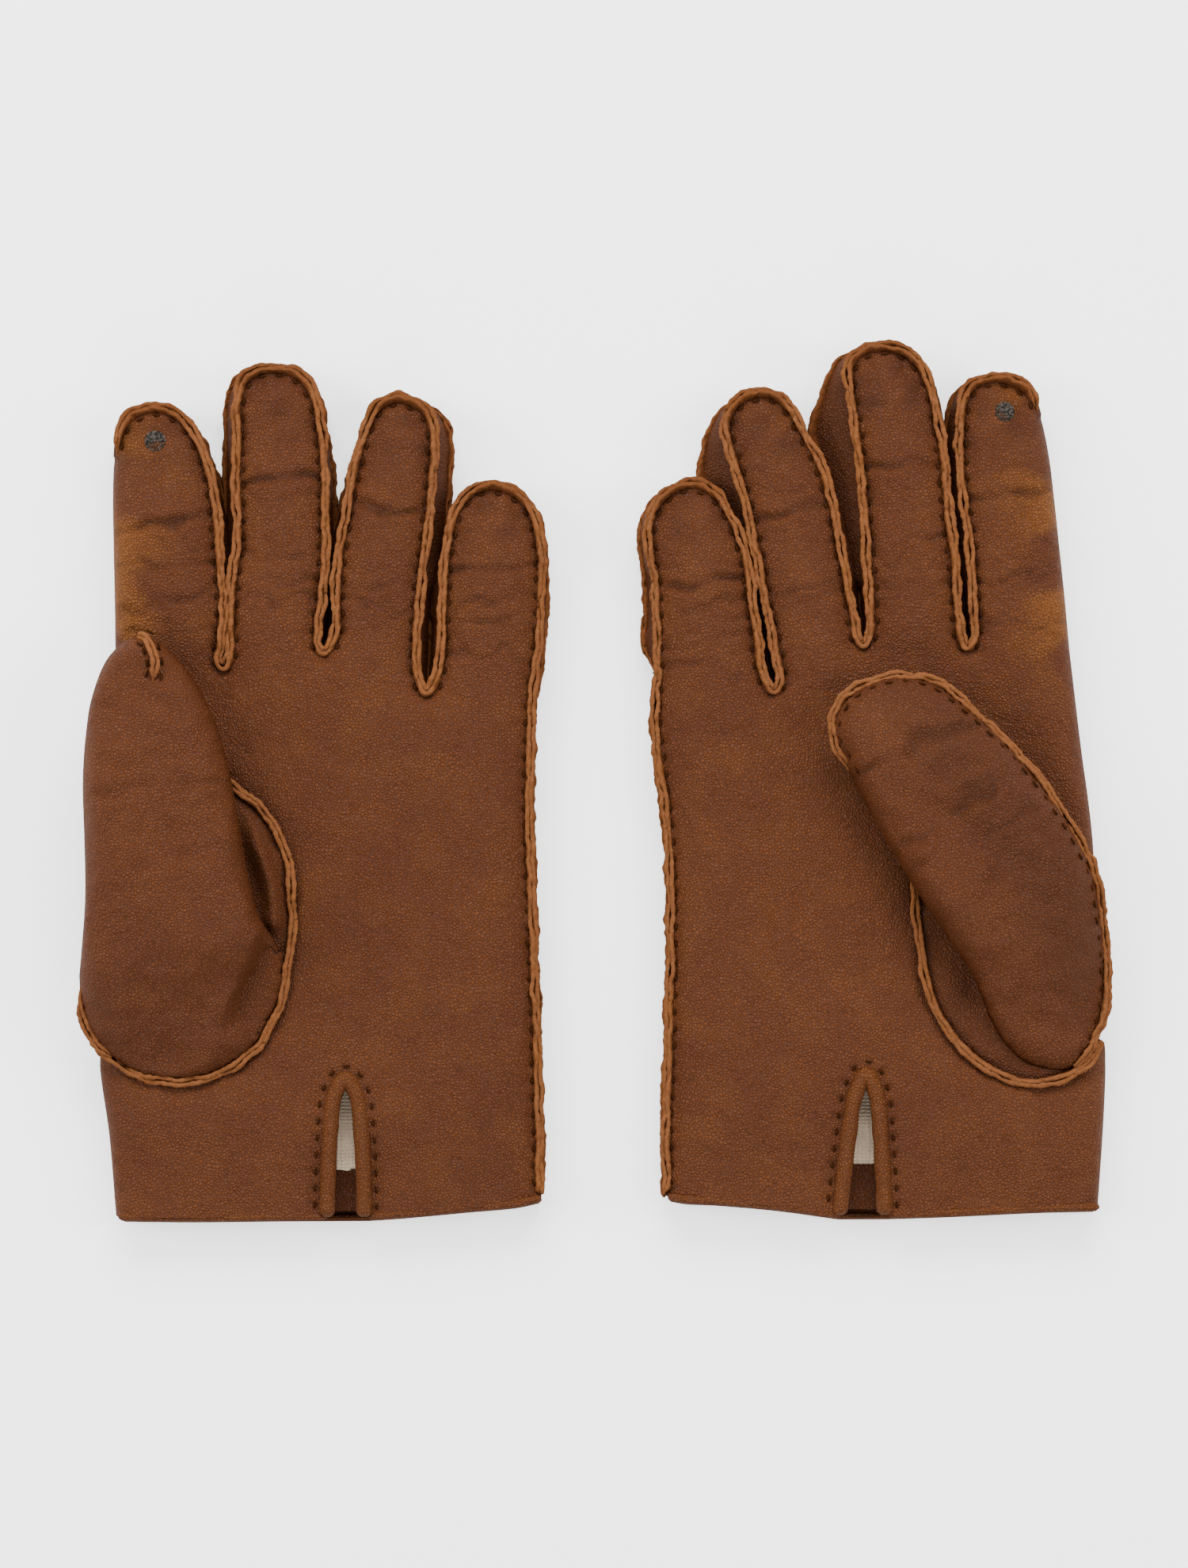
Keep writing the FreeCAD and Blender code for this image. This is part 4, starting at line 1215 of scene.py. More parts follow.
        # The leather is one skin round a fold, so both sheets share a normal there.
        for i in np.flatnonzero(self.tags == "fold"):
            a, b = front.loop_vertex[i], back.loop_vertex[self.back_of[i]]
            if a >= 0 and b >= 0:
                nf[a] = nb[b] = unit(nf[a]) + unit(nb[b])
        vf = np.column_stack([front.xy, front.z])
        vb = np.column_stack([back.xy, back.z])
        builds = {}
        for sheet, verts, normals, down in ((front, vf, nf, False), (back, vb, nb, True)):
            centre = sheet.xy[sheet.faces].mean(1)
            digit = self.digit_of(centre)
            part = np.zeros(len(centre), int)
            for name in self.digits:
                mine = digit == name
                part[mine] = self.part_of(centre[mine], name)
            digit[part == 0] = ""
            if down:
                # painted shade: the back, on which the glove rests, is darkened all over
                dark = 0.15 * np.ones(len(verts))
                wear = np.zeros(len(verts))
            else:
                dark, wear = self.front_dark, self.front_wear
            for name in ["", *self.digits]:
                for k in ((0,) if name == "" else (1, 2)):
                    faces = sheet.faces[(digit == name) & (part == k)]
                    if not len(faces):
                        continue
                    if down:
                        faces = faces[:, ::-1]
                    build = builds.setdefault((name, k), Build())
                    build.shell(verts, normals, faces, SKIN, dark=dark, wear=wear)
        for (name, k), build in builds.items():
            if name == "":
                self.on_hand(build, "trank_hand_skin", "leather", "trank_hand")
                continue
            part = ("hand", "base", "tip")[k]
            nodes = [f"{self.hand}_{name}_trank_base"] if k == 1 else [f"{self.hand}_{name}_tip"]
            piece = build.piece(f"{self.hand}_{name}_trank_{part}_skin", "leather", nodes)
            self.digits[name].attach(piece, part)

    def segments(self):
        """The seam's runs, cut at the rows: (digit, part, loop indices)."""
        found = []
        cuts = {}
        for name in self.data["order"]:
            rows = self.rows[name]
            mine = np.flatnonzero(self.owner == name)
            start, end = rows.get("row_l", mine[0]), rows.get("row_r", mine[-1])
            cuts[name] = (start, end)
            left, right = rows["mid_l"], rows["mid_r"]
            for part, a, b in (("tip", left, right), ("base", start, left), ("base", right, end)):
                found.append((name, part, np.arange(a, b + 1)))
        order = self.data["order"]
        for before, after in zip(order, order[1:]):
            found.append((before, "hand", np.arange(cuts[before][1], cuts[after][0] + 1)))
        self.cuts = cuts
        return found

    def split_tags(self, index, wanted):
        """Parts of an index run whose points carry the tags."""
        ok = np.isin(self.tags[index], wanted)
        out, current = [], []
        for i, good in zip(index, ok):
            if good:
                current.append(i)
            elif current:
                out.append(np.array(current + [i]))
                current = []
        if current:
            out.append(np.array(current))
        return [r for r in out if len(r) > 2]

    def wall(self, build, index):
        """The fourchette: a strip from the front seam down to the back seam, bulging a little outward."""
        front, behind = self.loop[index], self.behind[index]
        inward = self.inward(self.loop)[index]
        rows = []
        steps = 7
        gap = np.clip((self.front_z[index] - self.back_z[index]) / 8, 0, 1)
        for k in range(steps):
            t = k / (steps - 1)
            bulge = 4 * t * (1 - t) * 0.9 * gap
            xy = front * (1 - t) + behind * t - inward * bulge[:, None]
            z = self.front_z[index] * (1 - t) + self.back_z[index] * t
            rows.append(np.column_stack([xy, z]))
        verts = np.stack(rows, 1)
        n = len(index)
        faces = []
        for i in range(n - 1):
            for k in range(steps - 1):
                a, b = i * steps + k, (i + 1) * steps + k
                faces += [(a, b, b + 1), (a, b + 1, a + 1)]
        du = np.gradient(verts, axis=0)
        dv = np.gradient(verts, axis=1)
        normals = np.cross(dv, du)
        flat = normals.reshape(-1, 3)
        outward = np.column_stack([-inward, np.zeros(n)])
        if (normals.mean(1) * outward).sum() < 0:
            flat = -flat
        a, b, c = (verts.reshape(-1, 3)[[f[k] for f in faces]] for k in range(3))
        if (np.cross(b - a, c - a) * flat[[f[0] for f in faces]]).sum() < 0:
            faces = [f[::-1] for f in faces]
        # painted shade on the fourchette, deepest at its top under the front seam's edges
        dark = np.tile(0.18 + 0.25 * np.linspace(1, 0, steps), n)
        build.shell(verts.reshape(-1, 3), flat, faces, SKIN, dark=dark)

    def build_seams(self):
        """Fourchettes and standing edges, part by part."""
        hand = self.hand
        walls, edges = {}, {}
        inward3 = np.column_stack([self.inward(self.loop), np.zeros(len(self.loop))])
        inward_back = np.column_stack([self.inward(self.behind), np.zeros(len(self.loop))])
        spots = np.column_stack([self.loop, self.front_z])
        spots_back = np.column_stack([self.behind, self.back_z])
        front_tangent, back_tangent = self.loop_tangent(spots), self.loop_tangent(spots_back)
        at, taper = self.seam_taper()
        rawness = self.seam_rawness()
        tilt_of = {"side": 0.45, "outer": 0.35}
        tilt = np.array([tilt_of.get(t, 0.3) for t in self.tags]) + 0.8 * (1 - rawness)
        tilt = self.soften(tilt, 5)[:, None]
        sewn = np.isin(self.tags, ["seam", "outer", "side"])

        def lips(key, index):
            build = edges.setdefault(key, Build())
            # A part's edges reach a little way into the next part's, so that no gap shows between them.
            own = range(index[0], index[-1] + 1)
            wider = range(index[0] - 1, index[-1] + 2)
            index = np.array([i for i in wider if i in own or sewn[i % len(sewn)]]) % len(sewn)
            size = taper[index] * np.where(np.isin(index, own), 1, 0.72)
            lean = tilt[index] * taper[index][:, None]
            up = unit(np.array([0, 0, 1.0]) - inward3[index] * lean)
            near = 0.3 + 0.7 * (1 - taper[index]) + 0.6 * np.isin(self.tags[index], ["side", "outer"])
            seam_edges(build, spots[index] + inward3[index] * near[:, None], up, self.seed + 30, at[index],
                       front_tangent[index], taper=size, rawness=rawness[index])
            if np.isin(self.tags[index], ["seam", "outer"]).any():
                up = unit(np.array([0, 0, 0.35]) - inward_back[index])
                seam_edges(build, spots_back[index] + inward_back[index] * 0.5, up, self.seed + 35, at[index],
                           back_tangent[index], height=1.5, taper=size, rawness=0.55 * rawness[index])

        for name, part, index in self.segments():
            key = ("", "hand") if part == "hand" else (name, part)
            for run in self.split_tags(index, ["seam", "outer"]):
                self.wall(walls.setdefault(key, Build()), run)
                lips(key, run)
        for run in self.runs(["side"]):
            first, last = self.data["order"][0], self.data["order"][-1]
            if hand == "left":
                extra = np.concatenate([np.arange(self.cuts[last][1], run[0]), run])
            else:
                extra = np.concatenate([run, np.arange(run[-1] + 1, self.cuts[first][0] + 1)])
            self.wall(walls.setdefault(("", "hand"), Build()), extra)
            lips(("", "hand"), extra)
        oval = edges.setdefault(("", "oval"), Build())
        for run in self.runs(["oval"]):
            up = unit(np.array([0, 0, 1.0]) + inward3[run] * 0.15)
            path = spots[run] + (0, 0, 0.2)
            seam_edges(oval, path, up, self.seed + 95, at[run])
        for (name, part), build in walls.items():
            if part == "hand":
                self.on_hand(build, "crotch_fourchettes_skin", "leather")
                continue
            nodes = [f"{hand}_{name}_fourchette_base"] if part == "base" else []
            piece = build.piece(f"{hand}_{name}_fourchette_{part}_skin", "leather", nodes)
            self.digits[name].attach(piece, part)
        for (name, part), build in edges.items():
            if name == "":
                label = "side_seam_edges" if part == "hand" else "thumb_hole_edges"
                self.on_hand(build, label, "raw_edge")
                continue
            piece = build.piece(f"{hand}_{name}_seam_edges_{part}", "raw_edge")
            self.digits[name].attach(piece, part)

    def build_stitches(self):
        hand = self.hand
        builds = {}
        z = self.height(np.array([s[0] for s in self.stitches]))
        for (p, t, kind, name), level in zip(self.stitches, z):
            if kind == "finger":
                u = self.digits[name].to_local(p[None])[0, 0]
                digit = self.digits[name]
                part = "tip" if u > digit.middle else ("base" if u > BLEND_ROW else "hand")
                key = (name, part) if part != "hand" else ("", "side_seam")
            else:
                key = ("", {"side": "side_seam", "vent": "vent"}[kind])
            build = builds.setdefault(key, Build())
            centre = np.array([p[0], p[1], level + 0.12])
            stitch(build, centre, np.array([t[0], t[1], 0]), np.array([0, 0, 1.0]))
        for (name, part), build in builds.items():
            if name == "":
                self.on_hand(build, f"{part}_stitches", "thread")
            else:
                self.digits[name].attach(build.piece(f"{hand}_{name}_stitches_{part}", "thread"), part)

    # ------------------------------------------------ thumb

    def build_gusset(self):
        """The gusset's flat part, which fills the thumb opening under the thumb."""
        index = np.flatnonzero(self.tags == "oval")
        arc = self.loop[index]
        line = [self.data["oval"][-1], *self.data["back_fold"][::-1], self.data["oval"][0]]
        fold = resample(curve(line), GRAIN_SPACING, ends=False)
        loop = np.vstack([arc, fold])
        tags = np.array(["seam"] * len(arc) + ["fold"] * len(fold))
        edge_z = np.where(tags == "seam", SEAM_Z + 0.9, FOLD_Z)
        sheet = Sheet(loop, [], 1.3)
        u = sheet.puff(sheet.loop_vertex, 5.0, 250)
        base = spread_value(sheet.xy, loop, edge_z)
        p = np.sqrt(np.clip(u * (2 - u), 0, 1))
        sheet.z = base + (12.9 + 0.3 * Waves(self.seed + 41, 14.0)(sheet.xy) - base) * p
        dark = np.zeros(len(sheet.xy))
        if self.data["thumb"]["roll"]:
            crest = resample(curve(self.data["thumb"]["roll"]), 1.0)
            distance, where = nearest(sheet.xy, crest)
            full = smoothstep(where / len(crest), 0.0, 0.35)
            sheet.z += 4.2 * full * np.exp(-(distance / 2.3) ** 2) * smoothstep(u, 0, 0.3)
            # painted light: less shade along the crest of the roll
            dark -= 0.1 * full * np.exp(-(distance / 2.0) ** 2)
        for i, vertex in enumerate(sheet.loop_vertex):
            sheet.z[vertex] = edge_z[i]
        build = Build()
        verts = np.column_stack([sheet.xy, sheet.z])
        rim, _ = nearest(sheet.xy, arc)
        # painted shade over the gusset, deepest in the slot beside the opening's seam
        dark += 0.12 + 0.5 * np.exp(-(rim / 2.0) ** 2)
        build.shell(verts, sheet.normals(), sheet.faces, SKIN, dark=np.clip(dark, 0, 0.8))
        self.on_hand(build, "thumb_gusset_skin", "leather", "thumb_gusset")

    def build_thumb(self):
        facts, digit, hand = self.data["thumb"], self.thumb, self.hand
        side, arc = facts["left"], facts["arc"]
        edge_line = curve([arc[-1], *side] if hand == "left" else side)
        arc_line = curve([side[-1], *arc] if hand == "left" else [side[-1], *arc, side[0]])
        mid = digit.middle
        stops = dict(zip("lr", crossings(digit.to_local(edge_line), mid)))
        edge, marks = evenly(edge_line, stops, THUMB_SPACING)
        arc = resample(arc_line, THUMB_SPACING, ends=False)
        loop = np.vstack([edge, arc])
        n_edge = len(edge)
        u_loop = digit.to_local(loop)[:, 0]
        on_arc = np.arange(len(loop)) >= n_edge
        edge_z = THUMB_ROOT_Z + (THUMB_SIDE_Z - THUMB_ROOT_Z) * smoothstep(u_loop, -18, 22)
        to_hole = nearest(loop, self.loop[self.tags == "oval"])[0]
        rise = 0.35 * np.maximum(u_loop + 18, 0) * smoothstep(to_hole, 1.5, 5)
        lowered = on_arc if facts["soft_fold"] is None else np.arange(len(loop)) > n_edge - 9
        edge_z = np.where(lowered, np.minimum(edge_z, THUMB_ROOT_Z + rise), edge_z)
        edge_z = self.soften(edge_z, 6)
        sheets = []
        for side, spacing in (("top", THUMB_SPACING), ("under", 1.8)):
            sheet = Sheet(loop, [(marks["l"], marks["r"])], spacing)
            u = sheet.puff(sheet.loop_vertex, 7.5, 350)
            base = spread_value(sheet.xy, loop, edge_z)
            p = np.sqrt(np.clip(u * (2 - u), 0, 1))
            along = digit.to_local(sheet.xy)[:, 0]
            if side == "top":
                target = 16.5 + (THUMB_CROWN - 16.5) * smoothstep(along, -26, 20)
            else:
                target = 13.6 + (THUMB_FLOOR - 13.6) * smoothstep(along, -22, 2)
            sheet.z = base + (target - base) * p
            dark = np.zeros(len(sheet.xy))
            if side == "top" and facts["soft_fold"]:
                least = np.minimum(sheet.z, base + 0.6 * np.sqrt(p))
                sheet.z = np.maximum(sheet.z - self.fold_drop(sheet.xy), least)
            if side == "top":
                relief, dark = self.thumb_relief(sheet)
                sheet.z += relief * smoothstep(u, 0, 0.4)
                self.thumb_top = sheet
            for i, vertex in enumerate(sheet.loop_vertex):
                sheet.z[vertex] = edge_z[i]
            sheets.append((sheet, sheet.normals(down=side == "under"), dark))
        top, under = sheets
        for i in range(len(loop)):
            a, b = top[0].loop_vertex[i], under[0].loop_vertex[i]
            both = unit(top[1][a]) + unit(under[1][b])
            top[1][a] = under[1][b] = both
        builds = {"base": Build(), "tip": Build()}
        for k, (sheet, normals, dark) in enumerate(sheets):
            centre = digit.to_local(sheet.xy[sheet.faces].mean(1))[:, 0]
            verts = np.column_stack([sheet.xy, sheet.z])
            for part, chosen in (("base", centre <= mid), ("tip", centre > mid)):
                faces = sheet.faces[chosen]
                if k == 1:
                    faces = faces[:, ::-1]
                builds[part].shell(verts, normals, faces, SKIN, dark=dark)
        start = -digit.crease * 0.25
        for part, build in builds.items():
            piece = build.piece(f"{hand}_thumb_{part}_skin", "leather", [f"{hand}_thumb_{part}"])
            digit.attach(piece, part, start=start)
        self.thumb_seams(loop, edge_z, on_arc, marks, start)

    def fold_drop(self, xy):
        """How far the thumb's leather drops beyond its soft fold, on its way down to the seam."""
        line = resample(curve(self.data["thumb"]["soft_fold"]), 1.0)
        along = unit(np.gradient(line, axis=0))
        distance, index = nearest(xy, line)
        offset = xy - line[index]
        beyond = along[index][:, 1] * offset[:, 0] - along[index][:, 0] * offset[:, 1]
        side = np.sign(-beyond) * distance
        fade = 1 - smoothstep(index / len(line), 0.45, 1.0)
        return 7.4 * fade * smoothstep(side, -0.9, 3.0)

    def thumb_relief(self, sheet):
        digit, facts = self.thumb, self.data["thumb"]
        local = digit.to_local(sheet.xy)
        z = 0.50 * Waves(self.seed + 50, 26.0)(sheet.xy) + 0.13 * Waves(self.seed + 51, 9.0)(sheet.xy)
        # painted shade over the right thumb's outer half, towards its seam side
        dark = 0.24 * smoothstep(local[:, 1], -8, 8) * (facts["seam_side"] == "right")
        for k, (at, depth, slant, width) in enumerate(facts["creases"]):
            d = local[:, 0] - at - slant * local[:, 1] - Waves(self.seed + 52 + k, 12.0)(sheet.xy)
            fade = smoothstep(Waves(self.seed + 60 + k, 20.0)(sheet.xy), -0.8, 0.4)
            valley = np.exp(-(d / width) ** 2) * fade
            z += depth * (0.3 * np.exp(-((np.abs(d) - 2.3 * width) / width) ** 2) * fade - 0.6 * valley)
            # painted shade in the bottom of each thumb crease
            dark += 0.22 * depth * valley
        return z, np.clip(dark, 0, 0.7)

    def thumb_seams(self, loop, edge_z, on_arc, marks, start):
        """The thumb's own standing seam and its stitches, where the photographed side shows them."""
        hand, digit, facts = self.hand, self.thumb, self.data["thumb"]
        inward = self.inward(loop)
        inward3 = np.column_stack([inward, np.zeros(len(loop))])
        spots = np.column_stack([loop, edge_z])
        builds = {"base": Build(), "tip": Build()}
        threads = {"base": Build(), "tip": Build()}
        if facts["seam_side"] == "right":
            tip = int(np.argmax(digit.to_local(loop)[:, 0] - 0.9 * digit.to_local(loop)[:, 1]))
            first = tip - 16
            runs = {"tip": np.arange(first, marks["r"] + 1), "base": np.arange(marks["r"], len(loop))}
        else:
            first = -99
            runs = {"base": np.flatnonzero(on_arc)}
        # Where the thumb's edge meets the opening's own seam, that seam is the one that shows.
        joined = np.flatnonzero(on_arc & (nearest(loop, self.loop[self.tags == "oval"])[0] < 1.3))
        if len(joined) and facts["seam_side"] == "right":
            runs["base"] = np.arange(marks["r"], joined[0] + 3)
        elif len(joined):
            runs["base"] = np.arange(joined[-1] - 4, len(loop))
        at = lengths(loop)
        tangent = self.loop_tangent(spots)
        for part, index in runs.items():
            if len(index) < 3:
                continue
            lean, taper = 0.38, smoothstep(index - first, 0, 7)
            if facts["seam_side"] is None:
                lean = 0.5 * smoothstep(index - index[0], 2, 12)[:, None]
                taper = smoothstep(index[-1] - index, -2, 9) * smoothstep(index - index[0], -4, 5)
            elif part == "base":
                taper = taper * smoothstep(index[-1] - index, -4, 5)
            up = unit(np.array([0, 0, 1.0]) - inward3[index] * lean)
            seam_edges(builds[part], spots[index] + inward3[index] * 0.5, up, self.seed + 70, at[index],
                       tangent[index], taper=taper)
            if facts["seam_side"] is None:
                continue
            line = loop[index] + inward[index] * (STITCH_INSET - 0.1)
            s = lengths(line)
            tree = self.tree(self.thumb_top)
            for t in np.arange(STITCH_PITCH / 2, s[-1], STITCH_PITCH):
                p = np.array([np.interp(t, s, line[:, k]) for k in range(2)])
                q = np.array([np.interp(t + 0.5, s, line[:, k]) for k in range(2)])
                if np.linalg.norm(q - p) < 1e-6:
                    continue
                near = tree.find((p[0], p[1], 0))[1]
                centre = np.array([p[0], p[1], self.thumb_top.z[near] + 0.1])
                d = unit(q - p)
                stitch(threads[part], centre, np.array([d[0], d[1], 0]), np.array([0, 0, 1.0]))
        if facts["seam_side"] is None:
            self.tip_seam(builds["tip"], threads["tip"])
        for part in ("base", "tip"):
            if builds[part].count:
                piece = builds[part].piece(f"{hand}_thumb_seam_edges_{part}", "raw_edge")
                digit.attach(piece, part, start=start)
            if threads[part].count:
                piece = threads[part].piece(f"{hand}_thumb_stitches_{part}", "thread")
                digit.attach(piece, part, start=start)

    def tip_seam(self, edges, threads):
        """The short end of the thumb's closing seam that comes over the tip."""
        line = curve([(-118.1, 38.6), (-116.0, 37.4), (-114.4, 34.0), (-113.7, 30.0), (-114.4, 26.3)])
        line = resample(line, 0.9)
        tree = self.tree(self.thumb_top)
        z = np.array([self.thumb_top.z[tree.find((x, y, 0))[1]] for x, y in line])
        z = smoothed(z)
        path = np.column_stack([line, z])
        at = lengths(path)
        taper = smoothstep(np.minimum(at + 2, at[-1] - at), 0, 3)
        seam_edges(edges, path, np.array([0, 0, 1.0]), self.seed + 77, at, height=1.7, taper=taper)
        for k in range(2, len(line) - 1, 4):
            for side in (-1, 1):
                t = unit(line[k + 1] - line[k - 1])
                p = line[k] + np.array([-t[1], t[0]]) * side * 2.0
                near = tree.find((p[0], p[1], 0))[1]
                centre = np.array([p[0], p[1], self.thumb_top.z[near] + 0.1])
                stitch(threads, centre, np.array([t[0], t[1], 0]), np.array([0, 0, 1.0]), length=2.2)

    # ------------------------------------------------ vent, hem, lining

    def build_vent(self):
        """The rolled leather binding round the slit in the palm."""
        line = resample(curve(self.data["vent"]), 0.9)
        z = self.crown(line) - 0.1
        path = np.column_stack([line, z])
        angle = np.linspace(0, 2 * math.pi, 17)[:-1]
        ring = np.stack([np.cos(angle) * BINDING_RADIUS, np.sin(angle) * BINDING_RADIUS * 0.92], 1)
        s = lengths(path)
        close = np.minimum(s, s[-1] - s)
        size = np.sqrt(np.clip(1 - (1 - np.clip((close + 0.15) / 1.6, 0, 1)) ** 2, 0.02, 1))
        size *= 1 + 0.02 * Waves(self.seed + 80, 6.0)(np.stack([s, s * 0], 1))
        build = Build()
        # painted shade on the binding's lower side
        dark = np.clip(0.5 - ring[:, 1] * 0.6, 0, 0.6) * 0.6
        # painted highlight: the whole binding is lightened towards gold
        sweep(build, path, ring, np.array([0, 0, 1.0]), scale=size, wear=0.22, dark=dark)
        self.on_hand(build, "vent_binding_roll", "leather", "vent_binding")

    def build_hem(self):
        """The turned hem: a rolled edge along the opening, front and back, with its facing inside."""
        hand = self.hand
        angle = np.linspace(0, 2 * math.pi, 13)[:-1]
        ring = np.stack([np.cos(angle), np.sin(angle)], 1)
        build = Build()
        for run in self.runs(["hem"]):
            line = self.loop[run]
            path = np.column_stack([line, self.crown(line) - 0.75])
            # painted highlight: the front's rolls are lightened towards gold
            sweep(build, path, ring * (1.05, 0.9), np.array([0, 0, 1.0]), scale=self.blunt(path), wear=0.15)
        run = np.flatnonzero(self.back_tags == "hem")
        line = self.back_loop[run]
        vertex = self.back.loop_vertex[run]
        path = np.column_stack([line, np.full(len(line), self.back.z[vertex].mean() + 0.7)])
        # painted highlight, weaker, on the back's roll
        sweep(build, path, ring * (1.05, 0.9), np.array([0, 0, 1.0]), scale=self.blunt(path), wear=0.1)
        self.on_hand(build, "hem_roll", "leather")

        low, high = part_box(f"{hand}_hem_facing")
        x0, x1 = low.x / MM + 5.5, high.x / MM - 5.5
        top = self.data["lining_edge"] + 0.5
        facing = Build()
        vent = np.array(self.data["vent"])
        left, right = vent[:, 0].min() - 1.0, vent[:, 0].max() + 1.0
        self.strip(facing, x0, x1, top, 2.6)
        self.strip(facing, x0, left, top, None)
        self.strip(facing, right, x1, top, None)
        self.on_hand(facing, "hem_facing_skin", "leather", "hem_facing")

    def blunt(self, path):
        """Sizes that round off both ends of a roll."""
        s = lengths(path)
        near = np.clip((np.minimum(s, s[-1] - s) + 0.1) / 1.1, 0, 1)
        return np.sqrt(np.clip(1 - (1 - near) ** 2, 0.04, 1))

    def strip(self, build, x0, x1, top, z):
        """A flat band inside the cuff, against the back at a height, or against the front."""
        xs = np.linspace(x0, x1, max(3, int((x1 - x0) / 2.5)))
        rows = np.linspace(0, 1, 6)
        hem = self.loop[self.tags == "hem"]
        hem = hem[np.argsort(hem[:, 0])]
        lowest = np.interp(xs, hem[:, 0], hem[:, 1]) + 1.2
        grid = np.array([(x, low + (top - low) * t) for t in rows for x, low in zip(xs, lowest)])
        level = self.crown(grid) - 1.9 if z is None else z + self.under_vent(grid)
        level = level + 0.25 * Waves(self.seed + 81, 17.0)(grid)
        verts = np.column_stack([grid, level])
        n = len(xs)
        faces = []
        for j in range(len(rows) - 1):
            for i in range(n - 1):
                a = j * n + i
                faces += [(a, a + 1, a + n + 1), (a, a + n + 1, a + n)]
        normals = np.tile([0, 0, 1.0], (len(grid), 1))
        # painted shade: the facing inside the cuff is darkened all over
        build.shell(verts, normals, faces, SKIN * 0.9, dark=np.full(len(grid), 0.25))

    def under_vent(self, xy):
        """How far the inside of the back stands up under the slit, where the two sides of the cuff touch."""
        middle = np.array(self.data["vent"])[:, 0].mean()
        return 5.6 * np.exp(-((xy[:, 0] - middle) / 11.0) ** 2)

    def build_lining(self):
        """The knit lining of the hand, against the back and against the palm, and a sleeve in each digit."""
        hand, data = self.hand, self.data
        edge = data["lining_edge"]
        side = [p for p in data["side"] if p[1] > edge + 2]
        inset = 4.0
        if hand == "left":
            left = [(p[0] + inset, p[1]) for p in [*data["fold"][1:], *data["back_fold"], *data["fold_top"]]]
            right = [(p[0] - inset, p[1]) for p in side]
            top = [(-118, 30), (-100, 24), (-84, 28), (-70, 27), (-56, 24), (-42, 18), (-28, 18)]
            x0, x1 = left[0][0] + 1.2, right[-1][0]
        else:
            left = [(p[0] + inset, p[1]) for p in side]
            fold_side = [*data["fold_top"], *data["back_fold"], *data["fold"][:-1]]
            right = [(p[0] - inset, p[1]) for p in fold_side]
            top = [(28, 18), (44, 17), (58, 24), (70, 28), (84, 28), (97, 26), (116, 28)]
            x0, x1 = left[0][0], right[-1][0] + 0.5
        rng = np.random.default_rng(self.seed + 82)
        xs = np.arange(x1 - 0.8, x0 + 0.4, -0.8)
        ragged = [(x, edge + rng.uniform(-0.35, 0.45)) for x in xs]
        around = resample(curve([*left, *top, *right]), 2.0)
        loop = np.vstack([around, ragged])
        build = Build()
        tree = self.tree(self.back)
        sheet = Sheet(loop, [], LINING_SPACING)
        z = np.array([self.back.z[tree.find((x, y, 0))[1]] for x, y in sheet.xy]) + 1.0
        sheet.z = np.clip(z, 1.4, 3.0) + 0.12 * Waves(self.seed + 83, 9.0)(sheet.xy) + 0.7
        sheet.z += self.under_vent(sheet.xy) * smoothstep(-sheet.xy[:, 1], 60, 78)
        build.shell(np.column_stack([sheet.xy, sheet.z]), sheet.normals(), sheet.faces, KNIT)
        vent = np.array(data["vent"])
        middle = vent[:, 0].mean()
        top_y = vent[:, 1].max() + 4.5
        notch = [(-9, edge), (-5.0, top_y - 5), (0, top_y), (5.0, top_y - 5), (9, edge)]
        notch = [(middle - x, y) for x, y in notch]
        straight = [p for p in ragged if p[0] > middle + 9] + notch + [p for p in ragged if p[0] < middle - 9]
        sheet = Sheet(np.vstack([around, straight]), [], LINING_SPACING)
        rim, _ = nearest(sheet.xy, around)
        sheet.z = self.crown(sheet.xy) - 2.6 - 3.0 * np.exp(-(rim / 5) ** 2)
        build.shell(np.column_stack([sheet.xy, sheet.z]), sheet.normals(), sheet.faces, KNIT)
        self.on_hand(build, "hand_lining_knit", "lining", "hand_lining")
        for name, digit in self.digits.items():
            self.sleeve(digit, data["fingers"][name]["outline"], 3.6, 10.6, 2.6, BLEND_ROW, None)
        thumb = [tuple(p) for p in self.thumb.to_local(np.array(data["thumb"]["left"]))]
        thumb = [p for p in thumb if p[0] > -6]
        self.sleeve(self.thumb, thumb, 17.0, 23.4, 3.6, 14.0, -self.thumb.crease * 0.25)

    def sleeve(self, digit, outline, low, high, inset, start, blend_start):
        """A digit's lining: a flattened knit tube inside the leather, open at the hand."""
        local = curve(outline)
        longest = local[:, 0].max()
        for part, a, b in (("base", start, digit.middle), ("tip", digit.middle, longest - inset)):
            stations = np.linspace(a, b, 10 if part == "base" else 18)
            rings = []
            for u in stations:
                hits = []
                for i in np.flatnonzero((local[1:, 0] > u) != (local[:-1, 0] > u)):
                    f = (u - local[i, 0]) / (local[i + 1, 0] - local[i, 0])
                    hits.append(local[i, 1] + f * (local[i + 1, 1] - local[i, 1]))
                lo, hi = (min(hits), max(hits)) if len(hits) >= 2 else (-9, 9)
                lo, hi = lo + inset, hi - inset
                half, middle = max((hi - lo) / 2, 0.5), (hi + lo) / 2
                angle = np.linspace(0, 2 * math.pi, 25)[:-1]
                thick = (high - low) / 2 * min(1, half / 5)
                v = middle + half * np.sign(np.cos(angle)) * np.abs(np.cos(angle)) ** 0.7
                z = (high + low) / 2 + thick * np.sign(np.sin(angle)) * np.abs(np.sin(angle)) ** 0.7
                plane = digit.to_plane(np.stack([np.full(len(v), u), v], 1))
                rings.append(np.column_stack([plane, z]))
            verts = np.vstack(rings)
            m = 24
            faces = []
            for i in range(len(rings) - 1):
                for k in range(m):
                    p, q = i * m + k, i * m + (k + 1) % m
                    faces += [(p, q, q + m), (p, q + m, p + m)]
            if part == "tip":
